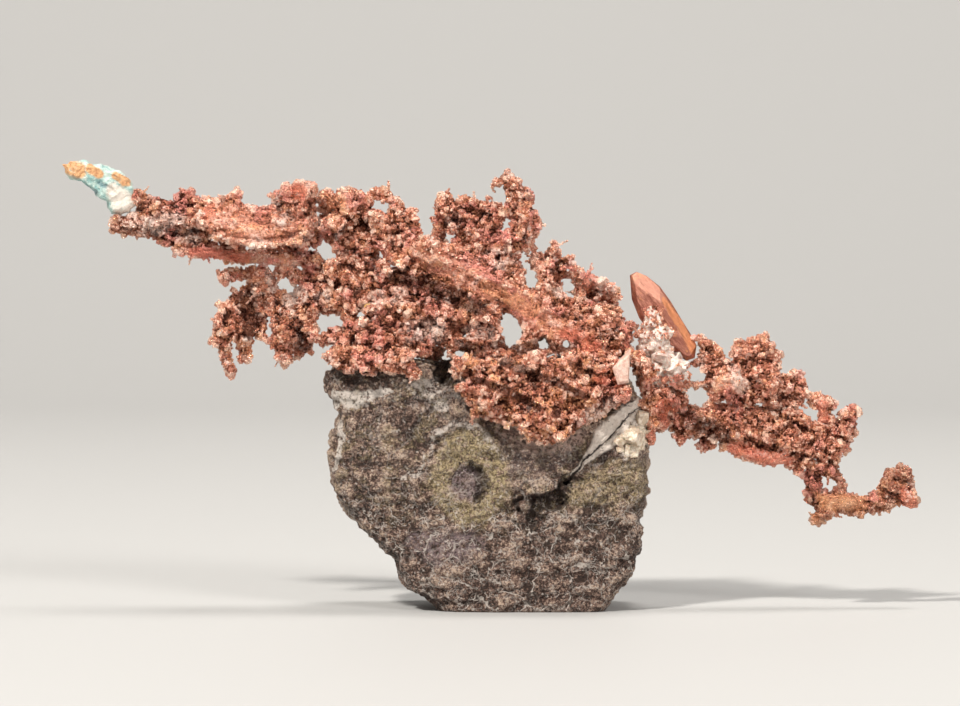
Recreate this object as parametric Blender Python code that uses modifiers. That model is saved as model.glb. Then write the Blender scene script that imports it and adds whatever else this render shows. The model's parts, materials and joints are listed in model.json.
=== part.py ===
"""Native copper on basalt: a spray of crystallised copper grown across the top of a broken piece of lava rock.

The front of the specimen faces -Y, the copper runs along X and Z is up. The origin lies on the rock's flat base.
Lengths below are in millimetres, and MM turns them into Blender's metres.
"""

import random
from math import cos, pi, radians, sin, tau

import bmesh
import bpy
from mathutils import Euler, Matrix, Vector

MM = 0.001

# The rock: a slab broken on all sides, thinner at the top, sawn flat where it stands
ROCK_THICKNESS = 20.0
ROCK_EDGE = 3.2
ROCK_TOP_TAPER = 0.22
ROCK_HEIGHT = 38.6
ROCK_TOP_SLOPE = 0.13
ROCK_VOXEL = 1.0
ROCK_FACES = 1150
BASE_CUT_DEPTH = 5.0

# The dark hollow in the rock's front under the copper: its centre, half-sizes and lean
HOLLOW_CENTRE = (-8.8, -8.4, 36.4)
HOLLOW_HALF_SIZE = (1.7, 4.6, 2.6)
HOLLOW_LEAN = radians(-18)

# The copper: strands of crystals grown one on another
CRYSTAL_STEP = 1.3
CRYSTAL_SIZE = (0.62, 0.98)
CRYSTAL_REACH = (0.3, 0.62)
DEPTH_SPREAD = 1.3
SPIRAL = radians(137.5)
STEM_SHARE = 0.82
STEM_SIDES_RESOLUTION = 0
BRANCH_FACE_SHARE = 0.24

# How far a flat crystal's bevel reaches in from its edge, as a share of the bevel's height
PLATE_INSET = 0.8

MENDING_ROUNDS = 8
WELD = 0.004

# The gap that neighbouring pieces keep
GAP = 0.4

SEED = 29

COPPER_PINK = ((0.72, 0.38, 0.30), 0.38, 1.0)
COPPER_BROWN = ((0.60, 0.31, 0.22), 0.42, 1.0)
COPPER_ORANGE = ((0.78, 0.40, 0.22), 0.32, 1.0)
COATED_COPPER = ((0.62, 0.74, 0.68), 0.60, 0.1)
CALCITE_WHITE = ((0.80, 0.74, 0.72), 0.45, 0.0)
BASALT_GREY = ((0.17, 0.15, 0.15), 0.80, 0.0)

# The rock's outline seen from the front, as (x, z), clockwise from the top left. The foot runs below the base,
# where the saw cut takes it off.
ROCK_OUTLINE = [
    (-25.4, 37.2), (-26.4, 35.4), (-26.2, 33.0), (-24.7, 31.2), (-24.2, 29.0), (-25.4, 26.7), (-25.7, 24.0),
    (-25.2, 19.5), (-24.0, 16.2), (-22.2, 13.6), (-19.8, 10.7), (-17.4, 9.2), (-15.7, 7.2), (-15.0, 5.0),
    (-14.0, 3.2), (-11.6, 1.6), (-8.8, 0.2), (-7.6, -1.8), (14.4, -1.8), (16.6, 0.8), (18.3, 3.8), (20.4, 7.0),
    (21.2, 9.5), (21.2, 14.0), (22.3, 18.5), (21.7, 22.4), (22.4, 25.3), (22.2, 28.8), (21.4, 31.4),
    (19.8, 33.4), (18.8, 35.0), (18.8, 37.4), (14.0, 38.5), (6.0, 38.7), (-2.0, 38.6), (-8.0, 38.2),
    (-14.0, 38.3), (-20.0, 38.3),
]

# Each strand is a line of (x, y, z, half-width). The copper's main fork holds the lattice over the rock.
TRUNK = [
    # the diagonal ridge
    [(-15.5, -2.5, 53.6, 1.7), (-11.5, -3.0, 52.3, 2.7), (-5.5, -3.5, 50.8, 3.5), (0.5, -3.5, 48.7, 3.8),
     (6.0, -3.0, 46.0, 3.2), (11.0, -3.0, 43.8, 3.0), (15.5, -2.5, 42.4, 2.9), (18.3, -2.0, 40.6, 2.0)],
    # its shoulder, under the crown
    [(-3.0, -1.0, 53.4, 2.0), (1.6, -1.5, 52.0, 2.4), (0.5, -3.0, 48.9, 2.2)],
    # the copper between the ridge and the band below it
    [(-11.5, -3.0, 52.3, 2.2), (-12.5, -2.5, 48.4, 2.8), (-11.5, -4.5, 44.4, 2.4)],
    [(-8.6, -3.2, 51.0, 2.2), (-8.6, -2.6, 47.0, 2.4)],
    [(-5.5, -3.5, 50.8, 2.6), (-5.5, -2.5, 47.0, 2.8), (-6.0, -5.0, 44.0, 2.2)],
    [(-5.5, -3.0, 46.6, 2.2), (0.4, -3.6, 45.8, 2.0), (4.2, -3.2, 44.6, 1.8)],
    # the band below the ridge
    [(-18.6, -3.5, 45.0, 1.3), (-15.5, -5.0, 44.6, 2.6), (-9.5, -5.5, 44.4, 3.0), (-4.0, -5.0, 43.4, 2.8),
     (-1.2, -4.6, 43.2, 2.0)],
    # the lattice that carries the west arm
    [(-28.4, -0.7, 49.4, 1.5), (-25.8, -1.0, 50.6, 1.7), (-22.5, -1.5, 49.3, 2.3), (-18.5, -2.0, 48.8, 2.4),
     (-12.5, -2.5, 48.4, 2.7)],
    [(-33.0, 0.3, 50.2, 1.2), (-31.0, 0.0, 50.2, 1.2), (-29.2, -0.5, 49.2, 1.5), (-28.4, -1.0, 47.2, 1.6),
     (-29.4, -0.5, 45.2, 1.4), (-31.0, 0.2, 45.4, 0.9)],
    [(-28.4, -1.0, 47.2, 1.5), (-24.4, -1.0, 46.6, 1.7), (-22.6, -1.5, 48.8, 1.5)],
    [(-29.4, -0.5, 45.2, 1.2), (-26.6, -1.0, 45.6, 1.3), (-24.2, -1.2, 45.6, 1.3)],
    [(-29.4, -0.5, 45.2, 1.4), (-28.2, -0.6, 43.4, 1.2), (-28.0, -1.6, 41.4, 1.0)],
    [(-24.4, -1.0, 46.6, 1.3), (-22.8, -2.0, 44.4, 1.2), (-21.6, -4.0, 41.8, 1.4)],
    [(-24.8, -1.4, 51.4, 1.4), (-22.4, -1.6, 52.4, 1.3), (-20.4, -1.8, 50.4, 1.7)],
    [(-23.0, -1.6, 48.4, 1.3), (-20.4, -2.4, 47.4, 1.2), (-16.6, -3.6, 46.4, 1.7)],
    # the crust that comes down over the rock's left shoulder
    [(-28.4, -3.6, 40.2, 0.8), (-25.4, -4.6, 40.6, 1.2), (-21.5, -5.2, 41.2, 2.1), (-16.5, -6.0, 41.2, 2.6),
     (-12.0, -6.0, 40.6, 2.6), (-8.8, -5.6, 41.6, 2.0)],
    [(-16.5, -6.0, 41.2, 2.2), (-15.5, -5.0, 44.6, 2.4)],
    [(-25.2, -7.2, 37.8, 1.5), (-19.8, -8.2, 37.6, 1.8), (-15.8, -8.2, 37.6, 1.9), (-13.0, -8.4, 36.2, 1.5),
     (-12.3, -9.0, 34.4, 0.9)],
    [(-18.0, -8.2, 37.6, 1.7), (-18.0, -6.0, 41.2, 2.0)],
    [(-12.0, -6.0, 40.4, 1.9), (-11.2, -6.4, 38.6, 1.6)],
    # the feet that stand on the rock between the small gaps
    [(-7.0, -5.2, 42.4, 1.4), (-7.0, -6.2, 38.2, 0.9)],
    [(-4.0, -5.0, 43.4, 2.0), (-3.4, -5.8, 40.6, 1.8), (-2.8, -6.6, 38.6, 1.7)],
    [(-1.2, -4.6, 43.2, 1.8), (-0.7, -5.4, 40.6, 1.4), (-0.7, -6.4, 38.6, 1.4)],
    [(3.9, -3.2, 46.4, 1.9), (4.6, -4.0, 42.5, 1.7), (4.6, -5.4, 39.4, 1.6)],
    [(4.6, -4.0, 42.5, 1.6), (8.0, -3.6, 42.2, 1.6), (11.6, -3.8, 41.8, 2.0)],
    [(7.8, -3.6, 42.0, 0.9), (7.8, -5.6, 38.8, 0.7)],
    [(10.8, -3.0, 43.8, 2.4), (12.2, -4.4, 40.6, 2.1), (13.0, -6.0, 38.8, 1.9)],
    [(-2.8, -6.6, 38.5, 1.2), (4.6, -6.0, 38.5, 1.2), (8.6, -6.0, 38.2, 0.9), (13.0, -6.0, 38.6, 1.6),
     (16.6, -5.6, 38.6, 1.8)],
    # the knob on the end of the ridge and its bridge to the east
    [(13.8, -2.0, 44.6, 1.8), (16.8, -2.0, 44.0, 1.9), (18.0, -2.5, 40.6, 1.9), (17.2, -4.0, 38.0, 1.9)],
    [(17.6, -2.0, 41.9, 1.0), (20.6, -1.5, 42.1, 0.5)],
    # the flat copper behind, which sits on the rock's top
    [(-20.0, 3.0, 41.4, 1.8), (-12.0, 3.6, 42.4, 2.2), (-4.0, 3.6, 42.8, 1.8)],
    [(-12.0, 3.6, 42.4, 2.0), (-12.0, 0.5, 46.0, 2.0), (-12.5, -2.5, 48.4, 2.0)],
    [(-5.5, -2.5, 50.0, 2.4), (0.5, 1.5, 48.4, 2.4), (6.0, 1.5, 45.4, 2.0), (12.5, 1.5, 43.0, 2.2),
     (16.0, 1.5, 40.4, 1.9), (15.5, -2.5, 41.6, 1.9)],
]

WEST_SPAR = [
    # the stout root behind the tip
    [(-57.4, -0.5, 57.6, 1.5), (-54.6, -0.5, 57.5, 2.7), (-50.4, -1.0, 57.9, 3.1), (-46.8, -1.0, 57.9, 2.9),
     (-44.0, -1.0, 57.0, 2.0)],
    [(-54.4, 0.0, 58.4, 1.6), (-54.0, 0.0, 61.4, 1.2), (-51.8, -0.5, 60.6, 1.2), (-51.4, -0.8, 58.6, 1.4)],
    # the straight rod that runs in to the trunk
    [(-51.4, -0.8, 56.8, 1.8), (-49.4, -0.5, 55.3, 1.7), (-46.0, -0.5, 54.2, 1.5), (-41.0, -0.5, 53.0, 1.4),
     (-36.0, -0.5, 52.5, 1.4), (-31.0, -0.5, 52.4, 1.5), (-27.4, -1.0, 52.0, 1.5)],
    # small spires on the root
    [(-47.2, -0.8, 58.6, 1.8), (-46.8, -1.0, 61.4, 1.4), (-46.5, -1.0, 63.0, 0.6)],
    [(-47.2, -0.8, 60.0, 1.0), (-48.4, -0.8, 61.6, 0.7)],
    [(-46.0, -0.8, 58.6, 1.4), (-44.4, -0.6, 60.6, 1.1)],
]

WEST_BLADE = [
    [(-44.4, -2.6, 58.8, 1.9), (-40.0, -3.2, 57.9, 2.4), (-35.6, -3.4, 57.8, 2.5), (-31.6, -3.2, 58.2, 2.6),
     (-29.0, -2.8, 59.6, 2.2), (-28.8, -2.4, 62.0, 1.8)],
    # the smooth keel under it
    [(-43.0, -3.2, 57.2, 0.9), (-41.0, -4.0, 55.7, 0.9), (-37.0, -4.4, 55.1, 0.9), (-32.0, -4.4, 55.3, 0.9),
     (-28.6, -3.2, 56.8, 1.1)],
    # its root, against the arch
    [(-32.0, -2.8, 56.6, 1.7), (-28.8, -2.2, 55.6, 1.7), (-27.4, -1.8, 57.4, 1.3)],
    [(-32.4, -3.0, 58.6, 1.9), (-32.9, -2.4, 61.4, 1.5), (-31.9, -2.2, 63.2, 1.1)],
    [(-40.2, -3.0, 57.8, 1.6), (-39.4, -2.6, 60.8, 0.9), (-39.0, -2.4, 62.6, 0.4)],
    [(-43.2, -2.6, 58.8, 1.2), (-41.8, -2.6, 61.0, 0.8)],
]

STUB = [
    [(-41.6, 0.5, 50.0, 1.0), (-38.6, 0.5, 50.1, 1.2), (-35.6, 0.5, 50.0, 1.5)],
    [(-35.6, 0.5, 50.0, 1.4), (-34.2, 0.5, 48.2, 1.3), (-33.4, 0.5, 46.2, 1.0)],
]

HANGING_FAN = [
    [(-36.6, 1.0, 48.6, 0.8), (-38.2, 1.0, 47.2, 1.3), (-39.2, 1.0, 44.4, 2.0), (-39.9, 1.0, 41.8, 2.0)],
    [(-39.2, 1.0, 45.4, 1.0), (-41.2, 0.5, 45.0, 0.9), (-42.3, 0.5, 42.6, 1.0), (-42.6, 0.5, 39.8, 0.7)],
    [(-39.9, 1.0, 42.2, 1.5), (-41.2, 0.5, 40.6, 1.4), (-41.4, 0.5, 38.0, 1.2), (-40.6, 0.5, 35.7, 0.9)],
    [(-39.6, 1.0, 42.4, 1.5), (-38.2, 1.5, 39.8, 1.3), (-38.2, 1.5, 37.0, 1.1)],
    [(-38.2, 1.0, 47.0, 1.3), (-36.4, 1.0, 45.8, 1.5), (-36.0, 1.0, 43.2, 1.4), (-35.8, 1.0, 40.6, 1.1)],
]

HANGING_LOBE = [
    [(-31.8, 0.0, 45.4, 1.4), (-32.4, 0.0, 43.0, 2.1), (-32.8, -0.5, 40.0, 2.2), (-32.0, -0.5, 37.2, 1.5)],
    [(-32.2, 0.0, 43.4, 1.4), (-29.8, 1.2, 42.0, 2.0), (-29.4, 1.5, 39.4, 1.6)],
]

ARCH = [
    [(-26.6, -1.0, 56.6, 1.3), (-24.4, -1.5, 55.4, 1.7), (-20.6, -2.0, 55.4, 2.6), (-17.0, -2.5, 55.6, 2.6),
     (-12.9, -2.2, 55.2, 1.8)],
    [(-21.0, -2.0, 55.2, 2.0), (-19.6, -2.0, 51.4, 1.5)],
    [(-22.6, -1.8, 55.6, 1.8), (-23.2, -1.6, 57.8, 1.9), (-20.4, -2.0, 59.0, 2.0), (-17.4, -2.2, 56.8, 1.9)],
    # the knob on the west, and the wire ring on it
    [(-23.4, -1.4, 58.0, 1.1), (-26.0, -0.8, 58.2, 1.1), (-26.2, -0.6, 60.2, 1.1)],
    [(-26.2, -0.6, 60.2, 0.7), (-26.0, -0.6, 61.9, 0.5), (-25.2, -0.6, 63.0, 0.45), (-24.2, -0.6, 62.8, 0.45),
     (-23.6, -0.8, 61.4, 0.7), (-24.0, -1.0, 59.0, 1.0)],
    [(-23.2, -1.8, 58.4, 1.5), (-22.3, -2.8, 61.2, 1.6)],
    # the curled prong
    [(-16.4, -2.3, 56.2, 1.7), (-15.0, -2.0, 58.2, 1.5), (-15.4, -1.5, 60.2, 1.3), (-16.8, -1.5, 61.7, 1.1),
     (-19.0, -1.0, 62.5, 1.0), (-19.6, -1.6, 60.0, 1.0)],
    [(-12.9, -2.2, 55.2, 1.7), (-12.9, -1.5, 57.6, 1.3), (-13.2, -1.5, 59.4, 0.7)],
]

CROWN = [
    [(-3.6, -0.5, 56.0, 2.3), (-4.8, -0.5, 58.2, 1.7), (-6.6, -0.2, 60.0, 1.4), (-8.8, 0.0, 59.8, 1.4)],
    [(-8.7, 0.0, 59.8, 1.1), (-8.1, 0.0, 61.8, 0.9)],
    [(-8.7, 0.0, 59.8, 0.7), (-10.4, 0.0, 59.9, 0.4)],
    [(-7.9, -0.1, 59.6, 1.0), (-8.6, 0.3, 57.4, 1.1), (-9.6, 0.5, 55.2, 1.3), (-7.4, 0.3, 53.8, 1.1),
     (-3.6, -0.5, 54.8, 1.4), (-3.6, -0.5, 56.2, 1.4)],
    [(-8.2, 0.1, 57.8, 0.9), (-5.4, -0.4, 57.6, 0.9)],
    [(-4.8, -0.5, 58.0, 1.2), (-4.5, -0.5, 60.9, 1.1)],
    [(-4.4, -0.5, 57.8, 1.1), (-2.4, -0.5, 60.2, 0.8), (-1.8, -0.5, 61.6, 0.5)],
    [(-3.6, -0.5, 56.0, 1.7), (-1.6, -0.5, 57.2, 1.7), (-0.2, -0.5, 58.6, 1.4), (0.2, -0.5, 59.6, 0.8)],
    [(-3.4, -0.5, 55.4, 1.6), (-0.4, -0.8, 55.2, 1.5)],
    [(-9.4, 0.4, 55.4, 1.2), (-11.0, 0.2, 54.6, 1.1)],
    [(-8.7, 0.3, 57.2, 1.0), (-10.2, 0.3, 58.4, 0.7)],
]

TOWER = [
    [(2.0, -1.5, 54.4, 2.3), (3.5, -1.5, 56.6, 2.4), (3.4, -1.5, 59.0, 2.2), (3.0, -1.3, 61.4, 1.9),
     (1.7, -1.0, 63.4, 1.6), (0.3, -1.0, 64.4, 1.0)],
    [(3.4, -1.3, 60.8, 1.3), (4.9, -1.0, 62.7, 0.7)],
    [(1.8, -1.0, 63.4, 1.0), (1.9, -1.0, 65.0, 0.5)],
]

COMB = [
    [(8.3, 0.8, 46.4, 1.6), (8.2, 0.8, 48.6, 1.6), (7.8, 1.0, 50.2, 1.7), (8.2, 1.0, 52.2, 1.5),
     (8.2, 1.0, 54.3, 0.8)],
    [(7.9, 1.0, 51.0, 1.1), (10.2, 1.0, 51.6, 0.9), (10.5, 1.0, 52.8, 0.5)],
    [(7.6, 1.0, 51.0, 0.9), (6.0, 1.0, 51.6, 0.5), (5.8, 1.0, 52.9, 0.4)],
    [(6.6, 1.0, 51.2, 0.6), (5.0, 0.8, 51.8, 0.4), (3.9, 0.4, 51.6, 0.45)],
    [(7.9, 1.0, 50.2, 1.0), (10.4, 1.0, 49.9, 0.7), (12.4, 1.0, 49.0, 1.2)],
    [(12.6, 1.0, 45.8, 1.4), (12.6, 1.0, 47.6, 1.6), (12.2, 1.0, 49.4, 1.0), (12.0, 1.0, 50.8, 0.5)],
    [(12.6, 1.0, 47.4, 1.6), (15.2, 1.0, 47.2, 1.8), (17.2, 1.0, 45.8, 1.3)],
    [(13.0, 1.0, 48.2, 1.2), (14.6, 1.0, 48.8, 1.1)],
    [(15.6, 1.0, 47.6, 1.2), (17.6, 1.0, 47.2, 0.7)],
]

APRON = [
    [(-6.0, -9.4, 36.6, 1.8), (-0.5, -9.2, 36.2, 2.2), (6.0, -9.0, 36.4, 2.2), (12.0, -9.0, 36.4, 2.3),
     (16.5, -9.0, 36.0, 2.0)],
    [(-5.4, -10.0, 33.4, 1.6), (0.5, -10.0, 32.6, 2.3), (7.0, -9.8, 32.6, 2.4), (13.0, -9.8, 32.6, 2.3),
     (18.0, -9.6, 32.8, 1.7)],
    [(-3.6, -10.4, 30.2, 1.3), (1.5, -10.4, 29.2, 2.0), (7.0, -10.2, 28.4, 2.3), (12.0, -10.2, 29.2, 1.8)],
    # the feet of the apron, and the stems that tie its rows
    [(6.0, -10.2, 29.0, 1.6), (4.4, -10.6, 26.6, 1.4), (9.0, -10.6, 25.8, 1.4), (10.0, -10.4, 28.6, 1.6)],
    [(-3.0, -9.4, 36.4, 1.8), (-3.0, -10.0, 33.0, 1.8), (-2.6, -10.4, 30.0, 1.4)],
    [(6.5, -9.0, 36.4, 1.9), (6.8, -9.8, 32.6, 2.0), (6.6, -10.2, 28.6, 1.8)],
    [(14.5, -9.0, 36.2, 1.9), (14.0, -9.8, 32.6, 2.0), (12.0, -10.2, 29.2, 1.6)],
    [(1.6, -9.2, 36.2, 1.8), (2.0, -9.8, 32.6, 1.8)],
    [(10.6, -9.2, 36.2, 1.8), (10.4, -9.8, 32.6, 1.8)],
]

CALCITE_KNOT = [
    [(22.4, -3.0, 41.2, 1.7), (23.2, -3.2, 39.0, 2.1), (24.8, -3.4, 36.8, 2.2), (25.6, -3.4, 34.6, 1.9)],
    [(24.4, -3.4, 37.0, 1.7), (22.8, -3.4, 35.8, 1.5), (23.4, -3.2, 33.6, 1.5), (25.2, -3.4, 34.4, 1.5)],
    [(25.0, -3.4, 36.8, 1.4), (26.9, -3.2, 36.2, 1.0)],
]

EAST_KNOT = [
    [(20.0, -5.4, 38.2, 1.1), (21.8, -5.8, 35.8, 1.3), (22.0, -5.4, 33.2, 1.5), (22.4, -4.8, 31.2, 1.7),
     (23.8, -3.8, 29.4, 1.8), (24.4, -3.0, 27.2, 1.4)],
    [(23.0, -4.4, 30.8, 1.7), (25.8, -3.2, 31.2, 1.9), (27.0, -3.0, 32.6, 1.1)],
    [(22.6, -4.6, 31.2, 1.4), (22.2, -5.6, 28.6, 1.4), (22.2, -6.0, 26.4, 1.2), (22.2, -6.2, 24.9, 0.8)],
    [(24.0, -3.6, 29.0, 1.4), (22.6, -5.4, 27.6, 1.4)],
]

EAST_BLOCK = [
    [(28.2, -1.5, 36.6, 0.9), (30.0, -1.5, 36.9, 0.8), (31.8, -1.5, 37.0, 1.2)],
    [(31.8, -1.8, 36.4, 1.4), (31.6, -1.9, 33.6, 1.2), (32.4, -2.1, 31.4, 1.2)],
    [(30.0, -1.5, 39.6, 1.3), (31.8, -1.5, 38.6, 1.5), (32.4, -1.8, 36.2, 1.4)],
    [(31.0, -2.0, 35.8, 1.3), (34.2, -2.0, 35.2, 2.2), (38.0, -2.0, 34.8, 2.5), (40.6, -2.0, 33.2, 2.3),
     (41.2, -2.0, 31.2, 1.7)],
    [(37.0, -1.8, 35.6, 1.4), (36.8, -1.5, 38.8, 1.3), (38.2, -1.2, 40.0, 1.0), (39.6, -1.2, 40.4, 0.9),
     (39.6, -1.2, 41.4, 0.5)],
    [(38.4, -1.2, 39.8, 0.9), (40.6, -1.5, 39.0, 1.1), (41.2, -1.6, 36.8, 1.1), (40.0, -1.8, 34.2, 1.4)],
    [(38.4, -1.8, 36.0, 1.6), (38.8, -1.4, 38.2, 1.2)],
    [(28.8, -2.0, 33.3, 0.6), (30.6, -2.0, 33.5, 0.8), (33.0, -2.0, 34.6, 1.2)],
    [(34.0, -2.0, 34.6, 1.5), (33.0, -2.0, 32.6, 1.3), (34.6, -2.2, 31.4, 1.4), (37.4, -2.2, 32.2, 1.5),
     (39.6, -2.0, 31.4, 1.5)],
    [(40.6, -1.8, 33.2, 1.6), (42.8, -1.5, 33.6, 1.5), (45.0, -1.5, 34.0, 0.9)],
    [(41.0, -1.8, 32.0, 1.5), (42.8, -1.6, 31.0, 1.3), (45.0, -1.5, 30.6, 0.8)],
]

EAST_ROD = [
    [(26.4, -2.0, 28.0, 2.0), (29.6, -2.0, 27.8, 2.4), (33.8, -2.0, 27.0, 2.7), (38.4, -2.0, 26.0, 2.8),
     (43.0, -2.0, 24.9, 2.8), (47.2, -1.5, 24.2, 2.5), (50.2, -1.5, 24.2, 1.9)],
    [(28.4, -2.0, 29.4, 1.3), (32.4, -1.8, 29.2, 1.4), (36.8, -1.0, 29.0, 1.7), (42.6, -1.0, 28.4, 1.8),
     (47.4, -1.2, 27.0, 1.7), (47.6, -1.5, 24.6, 1.5)],
    [(32.6, -2.4, 27.0, 1.2), (34.0, -3.0, 24.2, 0.9), (39.4, -3.0, 22.9, 1.0), (42.0, -2.4, 24.0, 1.2)],
    [(27.6, -2.0, 28.4, 1.0), (27.6, -1.5, 32.0, 0.4)],
    [(31.2, -2.0, 28.6, 1.0), (31.5, -1.0, 31.0, 0.6)],
    [(27.8, -2.0, 28.0, 1.4), (27.0, -2.5, 25.2, 1.0)],
    [(30.8, -2.0, 28.0, 1.5), (31.0, -2.0, 24.6, 1.1)],
    [(41.4, -2.2, 25.0, 1.3), (40.9, -2.5, 21.9, 1.0)],
    [(44.6, -2.0, 25.0, 1.5), (44.4, -2.0, 21.9, 1.1)],
    [(46.6, -1.8, 24.4, 1.6), (46.8, -1.6, 23.2, 1.3)],
]

EAST_MUSHROOM = [
    [(50.4, -1.0, 26.4, 1.4), (49.2, -1.0, 28.4, 1.4), (48.3, -1.0, 31.0, 1.3)],
    [(47.0, -1.0, 31.2, 1.0), (48.2, -1.0, 31.2, 1.1), (49.8, -1.0, 30.6, 1.0)],
    [(50.4, -1.0, 26.4, 1.5), (52.4, -0.8, 27.4, 1.8), (52.8, -0.8, 29.4, 1.2), (51.4, -0.8, 29.2, 0.9)],
    [(52.2, -0.9, 27.0, 1.3), (52.0, -1.0, 24.0, 0.9)],
]

EAST_TAIL = [
    [(47.4, -1.5, 21.8, 1.6), (46.8, -1.5, 19.8, 1.6), (46.9, -1.5, 17.6, 1.5), (48.2, -1.5, 15.8, 1.6),
     (51.2, -1.8, 15.2, 1.7), (54.2, -1.8, 15.0, 1.6), (56.4, -1.6, 15.6, 1.5), (58.6, -1.2, 16.2, 1.2),
     (60.6, -1.0, 16.0, 1.0), (61.7, -1.0, 15.1, 0.6)],
    [(47.4, -1.5, 20.8, 1.2), (49.2, -1.5, 20.6, 1.2), (50.6, -1.5, 19.6, 1.1), (51.2, -1.5, 18.0, 1.0),
     (50.8, -1.6, 16.4, 1.0), (50.6, -1.7, 15.4, 1.1)],
    [(49.6, -1.5, 20.8, 0.9), (50.2, -1.5, 22.2, 0.9)],
    [(47.8, -1.5, 16.0, 1.1), (47.8, -1.5, 14.2, 1.0), (48.1, -1.5, 12.6, 0.6)],
    [(55.6, -1.6, 15.8, 1.3), (57.2, -1.3, 17.0, 1.3), (58.4, -1.0, 18.6, 1.2), (60.2, -0.8, 20.4, 1.1),
     (61.6, -0.8, 19.4, 0.9),
     (61.8, -0.9, 17.2, 0.7), (61.2, -1.0, 15.4, 0.7)],
    [(58.6, -1.1, 16.2, 0.9), (60.2, -0.7, 17.8, 0.9), (61.4, -0.8, 18.4, 0.7)],
    [(56.8, -1.5, 15.2, 0.8), (56.9, -1.4, 13.7, 0.45)],
]

# Single flat crystals, each an outline of (x, z) seen from the front, its mid-plane y, thickness and edge bevel
WEST_TIP = [(-65.5, 66.4), (-64.4, 67.0), (-62.4, 67.0), (-59.6, 66.5), (-57.0, 65.5), (-55.6, 64.5),
            (-54.8, 62.6), (-54.3, 60.8), (-55.4, 58.9), (-58.2, 58.9), (-58.9, 60.5), (-61.2, 62.2),
            (-63.6, 63.8), (-65.2, 64.9)]
WEST_TIP_PLACE = (-0.5, 3.4, 0.9)
SPEAR = [(19.4, 49.8), (20.4, 50.3), (21.9, 49.7), (23.9, 48.1), (25.5, 45.9), (27.0, 43.4), (28.5, 41.0),
         (29.4, 39.3), (29.1, 37.4), (27.8, 37.0), (25.2, 38.8), (22.7, 40.8), (20.8, 43.4), (19.7, 46.2)]
SPEAR_PLACE = (-1.5, 2.6, 0.9)
TAIL_FACET = [(60.4, 17.4), (62.0, 17.3), (62.5, 16.0), (62.4, 14.8), (61.5, 14.7), (60.3, 15.9)]
TAIL_FACET_PLACE = (-1.9, 1.5, 0.2)
EAST_PLATE = [(19.6, 38.9), (21.4, 37.6), (22.0, 35.8), (21.2, 33.6), (20.2, 35.2)]
EAST_PLATE_PLACE = (-3.4, 1.2, 0.3)

# Coin-like crystals: (x, y, z, radius, thickness, tilt in degrees)
ARCH_COINS = [(-22.4, -3.6, 61.1, 2.0, 1.8, 18.0), (-24.4, -3.4, 57.6, 1.5, 1.4, -12.0),
              (-18.2, -4.6, 58.0, 1.3, 1.2, 25.0)]
BLADE_COINS = [(-28.6, -3.4, 62.5, 1.7, 2.4, 8.0), (-42.0, -4.6, 57.8, 1.7, 1.6, -15.0)]


def clear_scene():
    for obj in list(bpy.data.objects):
        bpy.data.objects.remove(obj, do_unlink=True)


def new_collection(name):
    collection = bpy.data.collections.new(name)
    bpy.context.scene.collection.children.link(collection)
    return collection


def finish_material(name, finish):
    """A Principled material of one colour, roughness and metallic value."""
    colour, roughness, metallic = finish
    material = bpy.data.materials.new(name)
    material.use_nodes = True
    shader = material.node_tree.nodes["Principled BSDF"]
    shader.inputs["Base Color"].default_value = (*colour, 1.0)
    shader.inputs["Roughness"].default_value = roughness
    shader.inputs["Metallic"].default_value = metallic
    return material


def evaluated_mesh(obj):
    bpy.context.view_layer.update()
    return bpy.data.meshes.new_from_object(obj.evaluated_get(bpy.context.evaluated_depsgraph_get()))


def settle(obj):
    """Turns the object's modifiers into its own mesh."""
    mesh = evaluated_mesh(obj)
    obj.modifiers.clear()
    obj.data = mesh


def mesh_of_curve(curve, matrix):
    """The curve's tube or slab as a closed mesh, its caps welded, moved by the matrix."""
    obj = bpy.data.objects.new("guide", curve)
    bpy.context.scene.collection.objects.link(obj)
    mesh = evaluated_mesh(obj)
    bpy.data.objects.remove(obj)
    bm = bmesh.new()
    bm.from_mesh(mesh)
    bmesh.ops.remove_doubles(bm, verts=bm.verts, dist=1e-6)
    bmesh.ops.transform(bm, matrix=matrix, verts=bm.verts)
    bm.to_mesh(mesh)
    bm.free()
    return mesh


def stem(strand, extra):
    """The solid core of a strand: a four-sided tube whose width follows the strand."""
    curve = bpy.data.curves.new("stem", "CURVE")
    curve.dimensions = "3D"
    curve.bevel_depth = MM
    curve.bevel_resolution = STEM_SIDES_RESOLUTION
    curve.use_fill_caps = True
    spline = curve.splines.new("POLY")
    spline.points.add(len(strand) - 1)
    for point, (x, y, z, width) in zip(spline.points, strand):
        point.co = (x * MM, y * MM, z * MM, 1.0)
        point.radius = width * STEM_SHARE + extra
    return mesh_of_curve(curve, Matrix.Identity(4))


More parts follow.
